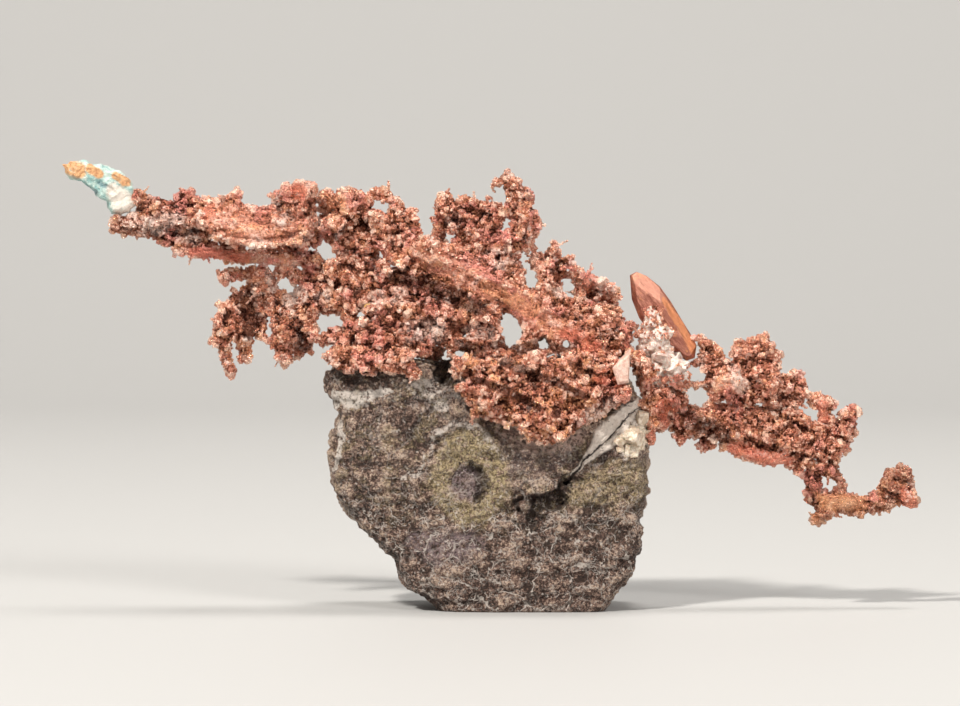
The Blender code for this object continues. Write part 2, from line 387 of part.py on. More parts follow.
def plate(outline, place, extra=0.0):
    """A flat crystal: its outline given a thickness, with a bevelled face round each of its two sides."""
    depth, thickness, bevel = place
    bm = bmesh.new()
    back = (depth + thickness / 2 - bevel) * MM
    face = bm.faces.new([bm.verts.new((x * MM, back, z * MM)) for x, z in outline])
    slab = bmesh.ops.extrude_face_region(bm, geom=[face])
    front_verts = [item for item in slab["geom"] if isinstance(item, bmesh.types.BMVert)]
    bmesh.ops.translate(bm, verts=front_verts, vec=(0.0, -(thickness - 2 * bevel) * MM, 0.0))
    bmesh.ops.recalc_face_normals(bm, faces=bm.faces)
    for side in [each for each in bm.faces if len(each.verts) == len(outline)]:
        bmesh.ops.inset_region(bm, faces=[side], thickness=bevel * PLATE_INSET * MM, depth=bevel * MM)
    if extra:
        bm.normal_update()
        moves = [vert.normal * extra * MM for vert in bm.verts]
        for vert, move in zip(bm.verts, moves):
            vert.co += move
    bmesh.ops.triangulate(bm, faces=bm.faces)
    mesh = bpy.data.meshes.new("plate")
    bm.to_mesh(mesh)
    bm.free()
    return mesh


def add_crystal(bm, kind, centre, size, turn):
    """A cube, an octahedron or a stubby prism, stretched and turned, as copper crystals are."""
    stretch = Matrix.Diagonal((*(size * MM), 1.0))
    place = Matrix.Translation(centre * MM) @ turn.to_matrix().to_4x4() @ stretch
    if kind == "cube":
        bmesh.ops.create_cube(bm, size=1.45, matrix=place)
    elif kind == "octahedron":
        bmesh.ops.create_uvsphere(bm, u_segments=4, v_segments=2, radius=1.15, matrix=place)
    else:
        bmesh.ops.create_cone(bm, cap_ends=True, segments=6, radius1=1.0, radius2=0.72, depth=1.5, matrix=place)


def places_along(strand, step):
    """Where a strand carries crystals: its two ends, and places between them a share of its half-width apart."""
    ends = [Vector(point[:3]) for point in (strand[0], strand[-1])]
    yield ends[0], strand[0][3], 0.0
    yield ends[1], strand[-1][3], 0.0
    for (x0, y0, z0, r0), (x1, y1, z1, r1) in zip(strand, strand[1:]):
        start, end = Vector((x0, y0, z0)), Vector((x1, y1, z1))
        count = round((end - start).length / (step * (r0 + r1) / 2))
        for i in range(count):
            share = (i + 0.5) / count
            yield start.lerp(end, share), r0 + (r1 - r0) * share, 1.0


def crystals_on(strand, rng, extra):
    """The crystals round the strand's stem, larger where it is stout. extra swells each one."""
    quarter = rng.uniform(0.0, tau)
    for centre, width, off_axis in places_along(strand, CRYSTAL_STEP):
        quarter += SPIRAL + rng.uniform(-0.5, 0.5)
        reach = rng.uniform(*CRYSTAL_REACH) * width * off_axis
        offset = Vector((cos(quarter), sin(3 * quarter) * DEPTH_SPREAD, sin(quarter))) * reach
        size = Vector(tuple(rng.uniform(*CRYSTAL_SIZE) for _ in range(3))) * width
        kind = rng.choice(("cube", "cube", "octahedron", "prism"))
        turn = Euler(tuple(rng.uniform(0.0, tau) for _ in range(3)))
        yield kind, centre + offset, size + Vector((extra,) * 3), turn


def add_coin(bm, coin, extra):
    x, y, z, radius, thickness, tilt = coin
    turn = Euler((radians(90 + tilt), 0.0, radians(tilt)))
    place = Matrix.Translation((x * MM, y * MM, z * MM)) @ turn.to_matrix().to_4x4()
    bmesh.ops.create_cone(
        bm, cap_ends=True, segments=9, radius1=(radius + extra) * MM, radius2=(radius * 0.85 + extra) * MM,
        depth=(thickness + 2 * extra) * MM, matrix=place,
    )


def boxes_meet(box, other, margin=0.0):
    """Whether two boxes, each a low and a high corner, come within the margin of each other."""
    (low, high), (other_low, other_high) = box, other
    return all(low[i] - margin < other_high[i] and other_low[i] - margin < high[i] for i in range(3))


def box_of(points):
    points = list(points)
    low = Vector(tuple(min(point[i] for point in points) for i in range(3)))
    high = Vector(tuple(max(point[i] for point in points) for i in range(3)))
    return low, high


def comes_near(points, reach, near):
    """Whether a shape that reaches this far round its points, in millimetres, may come near the box."""
    if near is None:
        return True
    low, high = box_of(points)
    margin = Vector((reach,) * 3)
    return boxes_meet(((low - margin) * MM, (high + margin) * MM), near)


def growth(branch, seed, extra=0.0, near=None):
    """What a branch is made of, as two meshes of overlapping closed shapes: its stems, and its crystals.

    extra swells every shape. near, a box, leaves out the shapes that lie away from it.
    """
    strands, coins, plates = branch
    stems, crystals = bmesh.new(), bmesh.new()
    rng = random.Random(seed)
    for strand in strands:
        stoutest = max(point[3] for point in strand) + extra
        if comes_near([point[:3] for point in strand], 2 * stoutest, near):
            stems.from_mesh(stem(strand, extra))
        for kind, centre, size, turn in crystals_on(strand, rng, extra):
            if comes_near([centre], 2 * max(size), near):
                add_crystal(crystals, kind, centre, size, turn)
    for coin in coins:
        if comes_near([coin[:3]], 2 * coin[3], near):
            add_coin(crystals, coin, extra)
    for outline, place in plates:
        if comes_near([(x, place[0], z) for x, z in outline], 2 * place[1], near):
            crystals.from_mesh(plate(outline, place, extra))
    meshes = []
    for part, bm in (("stems", stems), ("crystals", crystals)):
        bmesh.ops.recalc_face_normals(bm, faces=bm.faces)
        for face in bm.faces:
            face.smooth = False
        mesh = bpy.data.meshes.new(part)
        bm.to_mesh(mesh)
        bm.free()
        meshes.append(mesh)
    return meshes


def combine(obj, operation, other):
    """A Boolean with the exact solver on shapes that may overlap within themselves, made the object's own mesh."""
    modifier = obj.modifiers.new(operation.title(), "BOOLEAN")
    modifier.operation = operation
    modifier.solver = "EXACT"
    modifier.use_self = True
    modifier.object = other
    settle(obj)


def thin_out(obj, share):
    """Merges the surface's smallest facets until this share of its triangles is left."""
    facets = obj.modifiers.new("Facets", "DECIMATE")
    facets.ratio = share
    facets.use_collapse_triangulate = True
    settle(obj)


def keep_largest(obj):
    """Drops the crumbs that a cut leaves loose, and keeps the branch itself."""
    bm = bmesh.new()
    bm.from_mesh(obj.data)
    islands, waiting = [], set(bm.verts)
    while waiting:
        island, edge_of_search = set(), [waiting.pop()]
        while edge_of_search:
            vert = edge_of_search.pop()
            island.add(vert)
            for edge in vert.link_edges:
                other = edge.other_vert(vert)
                if other in waiting:
                    waiting.remove(other)
                    edge_of_search.append(other)
        islands.append(island)
    islands.sort(key=len)
    crumbs = [vert for island in islands[:-1] for vert in island]
    bmesh.ops.delete(bm, geom=crumbs, context="VERTS")
    bm.to_mesh(obj.data)
    bm.free()


def close_up(obj):
    """Mends the few spots where a cut or the thinning left an edge without exactly two faces."""
    bm = bmesh.new()
    bm.from_mesh(obj.data)
    for _ in range(MENDING_ROUNDS):
        bmesh.ops.remove_doubles(bm, verts=bm.verts, dist=WELD * MM)
        torn = [edge for edge in bm.edges if len(edge.link_faces) != 2]
        if not torn:
            break
        ragged = {face for edge in torn for face in edge.link_faces}
        bmesh.ops.delete(bm, geom=list(ragged), context="FACES")
        bmesh.ops.delete(bm, geom=[vert for vert in bm.verts if not vert.link_faces], context="VERTS")
        rims = [edge for edge in bm.edges if len(edge.link_faces) == 1]
        filled = bmesh.ops.holes_fill(bm, edges=rims, sides=0)
        bmesh.ops.triangulate(bm, faces=filled["faces"])
    bmesh.ops.recalc_face_normals(bm, faces=bm.faces)
    bm.to_mesh(obj.data)
    bm.free()


class Specimen:
    """The pieces made so far. Each knows how to make itself swollen by the gap, to cut later pieces back."""

    def __init__(self):
        self.parts = new_collection("native_copper_on_basalt")
        self.grown = []

    def helper(self, name, mesh):
        obj = bpy.data.objects.new(name, mesh)
        bpy.context.scene.collection.objects.link(obj)
        obj.hide_render = True
        return obj

    def add(self, name, mesh, material, swollen_near, face_share=1.0):
        """Adds a piece, cut back from those already there so that they meet with a gap, then thinned out."""
        obj = bpy.data.objects.new(name, mesh)
        self.parts.objects.link(obj)
        box = box_of(vert.co for vert in mesh.vertices)
        for other, other_box, other_swollen_near in self.grown:
            if boxes_meet(box, other_box, 2 * GAP * MM):
                space = self.helper(other.name + "_space", other_swollen_near(box))
                combine(obj, "DIFFERENCE", space)
                bpy.data.objects.remove(space)
        keep_largest(obj)
        if face_share < 1.0:
            thin_out(obj, face_share)
        close_up(obj)
        keep_largest(obj)
        obj.data.materials.clear()
        obj.data.materials.append(material)
        self.grown.append((obj, box, swollen_near))

    def add_solid(self, name, mesh, material, swollen):
        self.add(name, mesh, material, lambda box: swollen.copy())

    def add_branch(self, name, strands, material, coins=(), plates=(), reseed=0):
        """A branch of crystals: its stems and crystals joined in one solid."""
        branch = (strands, coins, plates)
        seed = SEED + len(self.grown) + reseed
        stems, crystals = growth(branch, seed)
        joined = self.helper(name + "_stems", stems)
        studs = self.helper(name + "_crystals", crystals)
        combine(joined, "UNION", studs)
        mesh = joined.data
        bpy.data.objects.remove(joined)
        bpy.data.objects.remove(studs)

        def swollen_near(box):
            both = bmesh.new()
            for part in growth(branch, seed, GAP, box):
                both.from_mesh(part)
            space = bpy.data.meshes.new(name + "_space")
            both.to_mesh(space)
            both.free()
            return space

        self.add(name, mesh, material, swollen_near, BRANCH_FACE_SHARE)


def rock_mesh():
    """The basalt: its outline given a thickness, roughened, broken into flat chips and sawn flat underneath."""
    curve = bpy.data.curves.new("rock", "CURVE")
    curve.dimensions = "2D"
    curve.fill_mode = "BOTH"
    curve.extrude = (ROCK_THICKNESS / 2 - ROCK_EDGE) * MM
    curve.bevel_depth = ROCK_EDGE * MM
    curve.bevel_resolution = 1
    curve.offset = -ROCK_EDGE * MM
    spline = curve.splines.new("POLY")
    spline.points.add(len(ROCK_OUTLINE) - 1)
    for point, (x, z) in zip(spline.points, ROCK_OUTLINE):
        point.co = (x * MM, z * MM, 0.0, 1.0)
    spline.use_cyclic_u = True
    rock = bpy.data.objects.new("rock", mesh_of_curve(curve, Matrix.Rotation(pi / 2, 4, "X")))
    bpy.context.scene.collection.objects.link(rock)
    add_remesh(rock, ROCK_VOXEL)
    add_roughness(rock, "flow banding", 9.0, 1.5)
    add_roughness(rock, "broken grain", 2.6, 0.7)
    settle(rock)
    lean_back(rock.data)
    thin_out(rock, ROCK_FACES / (2 * len(rock.data.polygons)))
    saw_flat(rock)
    hollow_out(rock)
    mesh = rock.data
    bpy.data.objects.remove(rock)
    return mesh


def add_remesh(obj, voxel):
    remesh = obj.modifiers.new("Remesh", "REMESH")
    remesh.mode = "VOXEL"
    remesh.voxel_size = voxel * MM


def add_roughness(obj, name, grain, height):
    """Displaces the surface by a cloudy pattern of this grain and height."""
    texture = bpy.data.textures.new(name, "CLOUDS")
    texture.noise_scale = grain * MM
    displace = obj.modifiers.new(name, "DISPLACE")
    displace.texture = texture
    displace.strength = height * MM
    displace.mid_level = 0.5


def lean_back(mesh):
    """Thins the rock towards its top, and slopes its upper edge down to the back."""
    height = ROCK_HEIGHT * MM
    for vert in mesh.vertices:
        share = vert.co.z / height
        vert.co.y *= 1.0 - ROCK_TOP_TAPER * share
        vert.co.z -= ROCK_TOP_SLOPE * share * (vert.co.y + ROCK_THICKNESS / 2 * MM)


def saw_flat(rock):
    """Cuts off what lies below the base plane."""
    bpy.ops.mesh.primitive_cube_add(size=1.0)
    below = bpy.context.object
    below.scale = (0.2, 0.2, BASE_CUT_DEPTH * MM)
    below.location = (0.0, 0.0, -BASE_CUT_DEPTH * MM / 2)
    below.hide_render = True
    bpy.context.view_layer.update()
    combine(rock, "DIFFERENCE", below)
    bpy.data.objects.remove(below)


def hollow_out(rock):
    """Breaks the dark hollow into the rock's front face."""
    bpy.ops.mesh.primitive_ico_sphere_add(subdivisions=1, radius=1.0, location=Vector(HOLLOW_CENTRE) * MM)
    hollow = bpy.context.object
    hollow.scale = Vector(HOLLOW_HALF_SIZE) * MM
    hollow.rotation_euler = (0.0, HOLLOW_LEAN, 0.0)
    hollow.hide_render = True
    bpy.context.view_layer.update()
    combine(rock, "DIFFERENCE", hollow)
    bpy.data.objects.remove(hollow)


def swollen_mesh(mesh, gap):
    """A copy of the mesh grown outwards by the gap."""
    bm = bmesh.new()
    bm.from_mesh(mesh)
    bm.normal_update()
    moves = [vert.normal * gap * MM for vert in bm.verts]
    for vert, move in zip(bm.verts, moves):
        vert.co += move
    grown = bpy.data.meshes.new("space")
    bm.to_mesh(grown)
    bm.free()
    return grown


def main():
    clear_scene()
    specimen = Specimen()
    pink = finish_material("copper_pink", COPPER_PINK)
    brown = finish_material("copper_brown", COPPER_BROWN)
    orange = finish_material("copper_orange", COPPER_ORANGE)
    coated = finish_material("coated_copper", COATED_COPPER)
    white = finish_material("calcite_white", CALCITE_WHITE)
    grey = finish_material("basalt_grey", BASALT_GREY)

    rock = rock_mesh()
    specimen.add_solid("basalt_matrix", rock, grey, swollen_mesh(rock, GAP))

    spear = plate(SPEAR, SPEAR_PLACE)
    specimen.add_solid("copper_spear_crystal", spear, orange, plate(SPEAR, SPEAR_PLACE, GAP))
    tip = plate(WEST_TIP, WEST_TIP_PLACE)
    specimen.add_solid("copper_west_tip", tip, coated, plate(WEST_TIP, WEST_TIP_PLACE, GAP))

    specimen.add_branch("calcite_knot", CALCITE_KNOT, white)
    specimen.add_branch("copper_trunk", TRUNK, pink)
    specimen.add_branch("copper_west_spar", WEST_SPAR, pink)
    specimen.add_branch("copper_west_blade", WEST_BLADE, pink, coins=BLADE_COINS)
    specimen.add_branch("copper_stub", STUB, pink)
    specimen.add_branch("copper_hanging_fan", HANGING_FAN, brown)
    specimen.add_branch("copper_hanging_lobe", HANGING_LOBE, brown)
    specimen.add_branch("copper_arch", ARCH, pink, coins=ARCH_COINS)
    specimen.add_branch("copper_crown", CROWN, pink)
    specimen.add_branch("copper_tower", TOWER, pink)
    specimen.add_branch("copper_comb", COMB, pink, reseed=100)
    specimen.add_branch("copper_apron", APRON, brown)
    specimen.add_branch("copper_east_knot", EAST_KNOT, orange, plates=[(EAST_PLATE, EAST_PLATE_PLACE)])
    specimen.add_branch("copper_east_block", EAST_BLOCK, pink)
    specimen.add_branch("copper_east_rod", EAST_ROD, brown)
    specimen.add_branch("copper_east_mushroom", EAST_MUSHROOM, brown)
    specimen.add_branch("copper_east_tail", EAST_TAIL, orange, plates=[(TAIL_FACET, TAIL_FACET_PLACE)])


main()
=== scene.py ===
"""Native copper on basalt: the looks of the specimen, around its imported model, which is the frame."""

import json
from math import cos, radians, sin, tau

import bpy
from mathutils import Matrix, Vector

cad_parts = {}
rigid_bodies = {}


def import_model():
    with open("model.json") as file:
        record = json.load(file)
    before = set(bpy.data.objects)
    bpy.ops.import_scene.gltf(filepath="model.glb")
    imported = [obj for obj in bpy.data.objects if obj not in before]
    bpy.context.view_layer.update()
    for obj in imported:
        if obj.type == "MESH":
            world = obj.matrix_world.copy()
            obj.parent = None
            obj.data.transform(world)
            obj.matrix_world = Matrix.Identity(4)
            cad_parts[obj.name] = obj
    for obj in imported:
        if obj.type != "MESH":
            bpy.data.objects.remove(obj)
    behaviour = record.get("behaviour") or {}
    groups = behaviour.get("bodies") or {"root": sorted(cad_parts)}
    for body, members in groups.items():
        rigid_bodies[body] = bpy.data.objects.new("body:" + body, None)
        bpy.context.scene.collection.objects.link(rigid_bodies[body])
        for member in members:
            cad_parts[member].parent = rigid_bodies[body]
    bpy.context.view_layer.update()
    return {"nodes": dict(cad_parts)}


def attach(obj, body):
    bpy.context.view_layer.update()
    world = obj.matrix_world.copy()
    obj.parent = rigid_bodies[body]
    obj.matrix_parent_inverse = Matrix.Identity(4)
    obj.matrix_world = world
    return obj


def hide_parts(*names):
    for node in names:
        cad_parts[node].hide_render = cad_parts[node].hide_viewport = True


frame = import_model()


# The basalt is a broken piece of dark lava rock, sawn flat underneath. Old gas bubbles in it are filled with
# an olive green mineral, pale veins cross it, and its worn front has a net of fine pale lines.
# It is one piece of stone: the copper grew along its top edge and over the upper part of its front.
MM = 0.001
ROCK_VOXEL = 0.33 * MM
MERGE_REACH = 0.001 * MM


def select_only(piece):
    """Leaves one object selected and active, for the operators that follow."""
    bpy.ops.object.select_all(action="DESELECT")
    piece.select_set(True)
    bpy.context.view_layer.objects.active = piece


def edit_whole(operator, **settings):
    """Runs one edit mode operator on the whole of the active piece."""
    bpy.ops.object.mode_set(mode="EDIT")
    bpy.ops.mesh.select_all(action="SELECT")
    operator(**settings)
    bpy.ops.object.mode_set(mode="OBJECT")


def copy_of_node(node, name):
    """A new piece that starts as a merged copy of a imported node."""
    piece = bpy.data.objects.new(name, frame["nodes"][node].data.copy())
    bpy.context.scene.collection.objects.link(piece)
    piece.data.materials.clear()
    select_only(piece)
    edit_whole(bpy.ops.mesh.remove_doubles, threshold=MERGE_REACH)
    return piece


def apply_modifier(piece, kind, **settings):
    """Adds one modifier to a piece and applies it."""
    modifier = piece.modifiers.new(kind.title(), kind)
    for name, value in settings.items():
        setattr(modifier, name, value)
    select_only(piece)
    bpy.ops.object.modifier_apply(modifier=modifier.name)


class Wire:
    """A socket of a graph: sums on it add Math nodes, and node() adds any other kind."""

    def __init__(self, tree, socket):
        self.tree = tree
        self.socket = socket

    def node(self, kind, settings=None, inputs=None, output=0):
        """Adds a node, sets its settings first and then its inputs, and gives the wire of one output."""
        made = self.tree.nodes.new(kind)
        for name, value in (settings or {}).items():
            if name == "stops":
                while len(made.color_ramp.elements) < len(value):
                    made.color_ramp.elements.new(1.0)
                for element, (place, colour) in zip(made.color_ramp.elements, value):
                    element.position = place
                    element.color = (*colour, 1.0)
            else:
                setattr(made, name, value)
        for name, value in (inputs or {}).items():
            if isinstance(value, Wire):
                self.tree.links.new(value.socket, made.inputs[name])
            elif isinstance(value, tuple) and len(made.inputs[name].default_value) == 4:
                made.inputs[name].default_value = (*value, 1.0)
            else:
                made.inputs[name].default_value = value
        return Wire(self.tree, made.outputs[output])

    def math(self, operation, *values):
        return self.node("ShaderNodeMath", {"operation": operation}, dict(enumerate(values)))

    def __add__(self, other):
        return self.math("ADD", self, other)

    def __sub__(self, other):
        return self.math("SUBTRACT", self, other)

    def __rsub__(self, other):
        return self.math("SUBTRACT", other, self)

    def __mul__(self, other):
        return self.math("MULTIPLY", self, other)

    def __truediv__(self, other):
        return self.math("DIVIDE", self, other)

    __radd__ = __add__
    __rmul__ = __mul__

    def most(self, other):
        return self.math("MAXIMUM", self, other)

    def fade(self, start, end):
        """0 up to start and 1 past end, with a smooth slope between. start may be the larger."""
        ends = {"Value": self, "From Min": start, "From Max": end}
        return self.node("ShaderNodeMapRange", {"interpolation_type": "SMOOTHSTEP"}, ends)

    def mix(self, first, second):
        """The first colour where the wire is 0 and the second where it is 1."""
        return self.node("ShaderNodeMix", {"data_type": "RGBA"}, {0: self, 6: first, 7: second}, output=2)

    def painted(self, *layers):
        """This colour under layers, each a pair of where it shows, from 0 to 1, and its colour."""
        colour = self
        for where, paint in layers:
            colour = where.mix(colour, paint)
        return colour

    def vector(self, operation, other, output=0):
        return self.node("ShaderNodeVectorMath", {"operation": operation}, {0: self, 1: other}, output=output)

    def scaled(self, factor):
        return self.node("ShaderNodeVectorMath", {"operation": "SCALE"}, {0: self, "Scale": factor})

    def axes(self):
        return [self.node("ShaderNodeSeparateXYZ", None, {0: self}, output=axis) for axis in "XYZ"]

    def noise(self, size, detail=3.0, roughness=0.55):
        """Clouds of about this size in millimetres, from 0 to 1, on a place in millimetres."""
        values = {"Vector": self, "Scale": 1.0 / size, "Detail": detail, "Roughness": roughness}
        return self.node("ShaderNodeTexNoise", None, values, output="Fac")

    def cells(self, size, feature="F1", output="Distance", metric="EUCLIDEAN"):
        """Cells of about this size in millimetres: round ones, or boxes where the metric is CHEBYCHEV."""
        settings = {"feature": feature, "distance": metric}
        values = {"Vector": self, "Scale": 1.0 / size}
        return self.node("ShaderNodeTexVoronoi", settings, values, output=output)

    def drift(self, size):
        """Clouds of about this size in millimetres, with a value for each of three axes."""
        values = {"Vector": self, "Scale": 1.0 / size}
        return self.node("ShaderNodeTexNoise", None, values, output="Color")

    def from_mesh(self, name):
        """A number that the mesh keeps at its points, as a material reads it."""
        return self.node("ShaderNodeAttribute", {"attribute_name": name}, output="Fac")


def stroke(x, z, points, soft=0.3):
    """1 inside a line seen from the front, through points (x, z, half width), fading at its edge."""
    line = None
    for (x0, z0, start), (x1, z1, end) in zip(points, points[1:] or points):
        aside = x - x0
        below = z - z0
        half = start
        if len(points) > 1:
            run = Vector((x1 - x0, z1 - z0))
            along = ((x - x0) * run.x + (z - z0) * run.y) / run.length_squared
            along = along.math("MINIMUM", along.math("MAXIMUM", along, 0.0), 1.0)
            aside = aside - along * run.x
            below = below - along * run.y
            half = along * (end - start) + start
        share = aside.math("SQRT", aside * aside + below * below) / half
        stretch = share.fade(1.0 + soft, 1.0 - soft)
        line = stretch if line is None else line.most(stretch)
    return line


def warped(here, amounts):
    """x and z of a place, pushed about by noise: amounts are pairs of (noise size, push), in millimetres."""
    x, y, z = here.axes()
    for size, push in amounts:
        drift = here.drift(size).axes()
        x = x + (drift[0] - 0.5) * (push * 2.5)
        z = z + (drift[1] - 0.5) * (push * 2.5)
    return x, z


RING = (-4.4, 19.7)
RING_REACH = (5.7, 7.3)
RING_CORE = (-5.0, 18.9)
CORE_REACH = (2.2, 2.7)
CREAM_LUMPS = [(20.8, 28.0, 0.9), (19.6, 25.8, 1.9), (19.0, 24.0, 1.4)]
CREAM_WEDGE = [
    (20.6, 30.8, 0.8), (17.8, 28.4, 1.5), (15.6, 26.0, 1.9), (13.8, 23.8, 1.0), (12.2, 22.0, 0.5),
    (10.6, 20.4, 0.3),
]
WEDGE_CRACK = [
    (20.9, 30.4, 0.06), (18.8, 28.8, 0.10), (15.8, 25.4, 0.10), (13.4, 23.6, 0.12), (9.6, 18.8, 0.24),
]

# the other marks on the rock: how softly each fades, and its line
ROCK_LINES = {
    # a groove round the ring's core, with painted shadow along it
    "shadowed_groove": (0.3, [(-4.4, 22.0, 0.5), (-3.0, 20.4, 0.9), (-2.8, 18.4, 0.9), (-3.4, 16.2, 0.5)]),
    "rim": (0.5, [
        (-10.2, 23.4, 0.3), (-9.2, 26.0, 0.5), (-6.6, 27.6, 0.6), (-3.8, 27.2, 0.6), (-1.4, 25.2, 0.4),
        (0.4, 22.6, 0.3),
    ]),
    "hook": (0.5, [
        (-16.6, 20.0, 0.2), (-13.4, 20.3, 0.3), (-12.0, 20.4, 0.4), (-11.5, 21.8, 0.3), (-11.3, 23.4, 0.2),
    ]),
    "olive": (0.3, [(10.6, 17.0, 1.4), (14.6, 18.4, 2.8), (20.4, 19.4, 3.0)]),
    "pits": (0.3, [(2.6, 15.8, 1.0), (5.4, 15.2, 1.9), (8.4, 16.4, 1.4), (9.6, 19.0, 0.7)]),
    "lilac": (0.5, [(-12.6, 10.4, 1.2), (-9.0, 9.6, 2.6), (-5.0, 10.0, 2.0)]),
    "dark": (0.3, [(-25.6, 35.4, 1.6), (-20.0, 35.6, 2.2), (-14.6, 34.4, 1.4)]),
    "purple": (0.5, [(-1.6, 26.0, 1.2), (3.0, 22.6, 2.4), (9.0, 23.0, 2.0), (11.0, 24.0, 1.0)]),
    "lumps": (0.3, CREAM_LUMPS),
    "top vein": (0.3, [(-24.8, 31.6, 0.6), (-22.6, 31.6, 1.2), (-19.4, 32.2, 1.0), (-16.6, 33.0, 0.4)]),
    "edge vein": (0.3, [(-24.6, 30.6, 0.5), (-23.6, 27.6, 0.5), (-23.8, 24.2, 0.5), (-24.6, 21.4, 0.4)]),
    "specks": (0.5, [(-12.4, 33.4, 1.2), (-10.0, 32.6, 1.8), (-8.6, 30.4, 0.8)]),
    # a dent in the rock's top, painted dark as shade
    "hollow": (0.4, [(-9.6, 37.6, 0.9), (-8.2, 35.6, 1.3), (-7.8, 34.0, 0.6)]),
    "crust": (0.4, [(-0.2, 26.8, 0.8), (4.0, 25.2, 1.4), (10.6, 25.6, 1.5)]),
}


def rock_marks(here):
    """The marks on the rock's front, each from 0 to 1, at a place in millimetres."""
    front = here.axes()[1].fade(-3.0, -5.5)
    x, z = warped(here, [(3.4, 1.1), (1.1, 0.55), (0.45, 0.3)])
    across = (x - RING[0]) / RING_REACH[0]
    up = (z - RING[1]) / RING_REACH[1]
    from_ring = across.math("SQRT", across * across + up * up)
    aside = (x - RING_CORE[0]) / CORE_REACH[0]
    below = (z - RING_CORE[1]) / CORE_REACH[1]
    from_core = aside.math("SQRT", aside * aside + below * below)
    marks = {
        "ring": from_ring.fade(1.12, 0.86) * from_core.fade(0.95, 1.25),
        "core": from_core.fade(1.15, 0.85),
    }
    for name, (soft, points) in ROCK_LINES.items():
        marks[name] = stroke(x, z, points, soft)
    x, z = warped(here, [(1.6, 0.4), (0.5, 0.15)])
    marks["wedge"] = stroke(x, z, CREAM_WEDGE, 0.15)
    marks["crack"] = stroke(x, z, WEDGE_CRACK, 0.4)
    marks = {name: mark * front for name, mark in marks.items()}
    bent = here.vector("ADD", here.drift(1.0 / 0.7).scaled(2.0))
    broken = here.noise(1.7, 3.0, 0.7).fade(0.40, 0.54)
    wide_net = bent.cells(4.6, "DISTANCE_TO_EDGE").fade(0.030, 0.008)
    fine_net = bent.cells(1.7, "DISTANCE_TO_EDGE").fade(0.055, 0.015)
    low = here.axes()[2].fade(20.0, 13.0) * 0.6 + 0.4
    bend = here.noise(2.6, 4.0, 0.6) - 0.5
    curves = bend.math("ABSOLUTE", bend).fade(0.016, 0.005) * here.noise(3.1, 2.0).fade(0.42, 0.54)
    marks["net"] = (wide_net.most(fine_net * 0.35) * broken).most(curves * 0.9) * low
    return marks


def shape_graph(name):
    """A geometry graph: gives the wire of the incoming mesh, and that of the place in millimetres."""
    tree = bpy.data.node_groups.new(name, "GeometryNodeTree")
    tree.interface.new_socket("Geometry", in_out="INPUT", socket_type="NodeSocketGeometry")
    tree.interface.new_socket("Geometry", in_out="OUTPUT", socket_type="NodeSocketGeometry")
    incoming = Wire(tree, tree.nodes.new("NodeGroupInput").outputs[0])
    here = incoming.node("GeometryNodeInputPosition").scaled(1.0 / MM)
    return incoming, here


def apply_graph(piece, outgoing):
    """Ends a shape graph with this wire and applies it to the piece."""
    tree = outgoing.tree
    tree.links.new(outgoing.socket, tree.nodes.new("NodeGroupOutput").inputs[0])
    apply_modifier(piece, "NODES", node_group=tree)
    bpy.data.node_groups.remove(tree)


def stored(mesh, name, value, domain="POINT"):
    """The mesh with a number kept at each of its points, or one on each scattered shape."""
    settings = {"data_type": "FLOAT", "domain": domain}
    values = {"Geometry": mesh, "Name": name, "Value": value}
    return mesh.node("GeometryNodeStoreNamedAttribute", settings, values)


def recalled(mesh, name):
    """A number kept at the points of a mesh, as a shape graph reads it."""
    return mesh.node("GeometryNodeInputNamedAttribute", None, {"Name": name})


def push_out(mesh, height):
    """The mesh with its surface moved outwards by this height in millimetres."""
    outward = mesh.node("GeometryNodeInputNormal").scaled(height * MM)
    return mesh.node("GeometryNodeSetPosition", None, {"Geometry": mesh, "Offset": outward})


basalt = copy_of_node("basalt_matrix", "basalt")
apply_modifier(basalt, "REMESH", mode="VOXEL", voxel_size=ROCK_VOXEL)
apply_modifier(basalt, "SMOOTH", factor=0.6, iterations=6)
mesh_in, here = shape_graph("rock relief")
marks = rock_marks(here)
layers = here.vector("MULTIPLY", (0.8, 0.8, 1.9))
relief = (here.noise(6.0, 5.0, 0.62) - 0.5) * 2.0
relief = relief + (layers.noise(2.6, 4.0, 0.65) - 0.5) * 1.4
relief = relief + (0.45 - layers.cells(3.6)) * 1.1 + (0.4 - here.cells(1.3)) * 0.55
relief = relief + (here.noise(0.9, 3.0, 0.6) - 0.5) * 0.5
relief = relief + marks["ring"] * 0.4 - marks["shadowed_groove"] * 0.7 + marks["core"] * 0.25 + marks["rim"] * 0.25
relief = relief - marks["pits"] * (here.noise(1.5, 2.0).fade(0.38, 0.6)) * 1.6
relief = relief - marks["crack"] * 0.6 - marks["hollow"] * 1.4
relief = relief + marks["wedge"] * (0.9 - here.cells(1.7) * 1.2) + marks["lumps"] * 0.3 - marks["net"] * 0.10
above_foot = here.axes()[2].fade(0.0, 1.2)
apply_graph(basalt, push_out(stored(mesh_in, "relief", relief), (relief - 0.2) * above_foot))


def new_finish(piece, name, constants):
    """A material on the piece, with its constants set: gives its shader and the place in millimetres."""
    material = bpy.data.materials.new(name)
    material.use_nodes = True
    tree = material.node_tree
    shader = tree.nodes["Principled BSDF"]
    for socket, value in constants.items():
        shader.inputs[socket].default_value = value
    piece.data.materials.clear()
    piece.data.materials.append(material)
    place = Wire(tree, tree.nodes.new("ShaderNodeTexCoord").outputs["Object"])
    return shader, place.scaled(1.0 / MM)


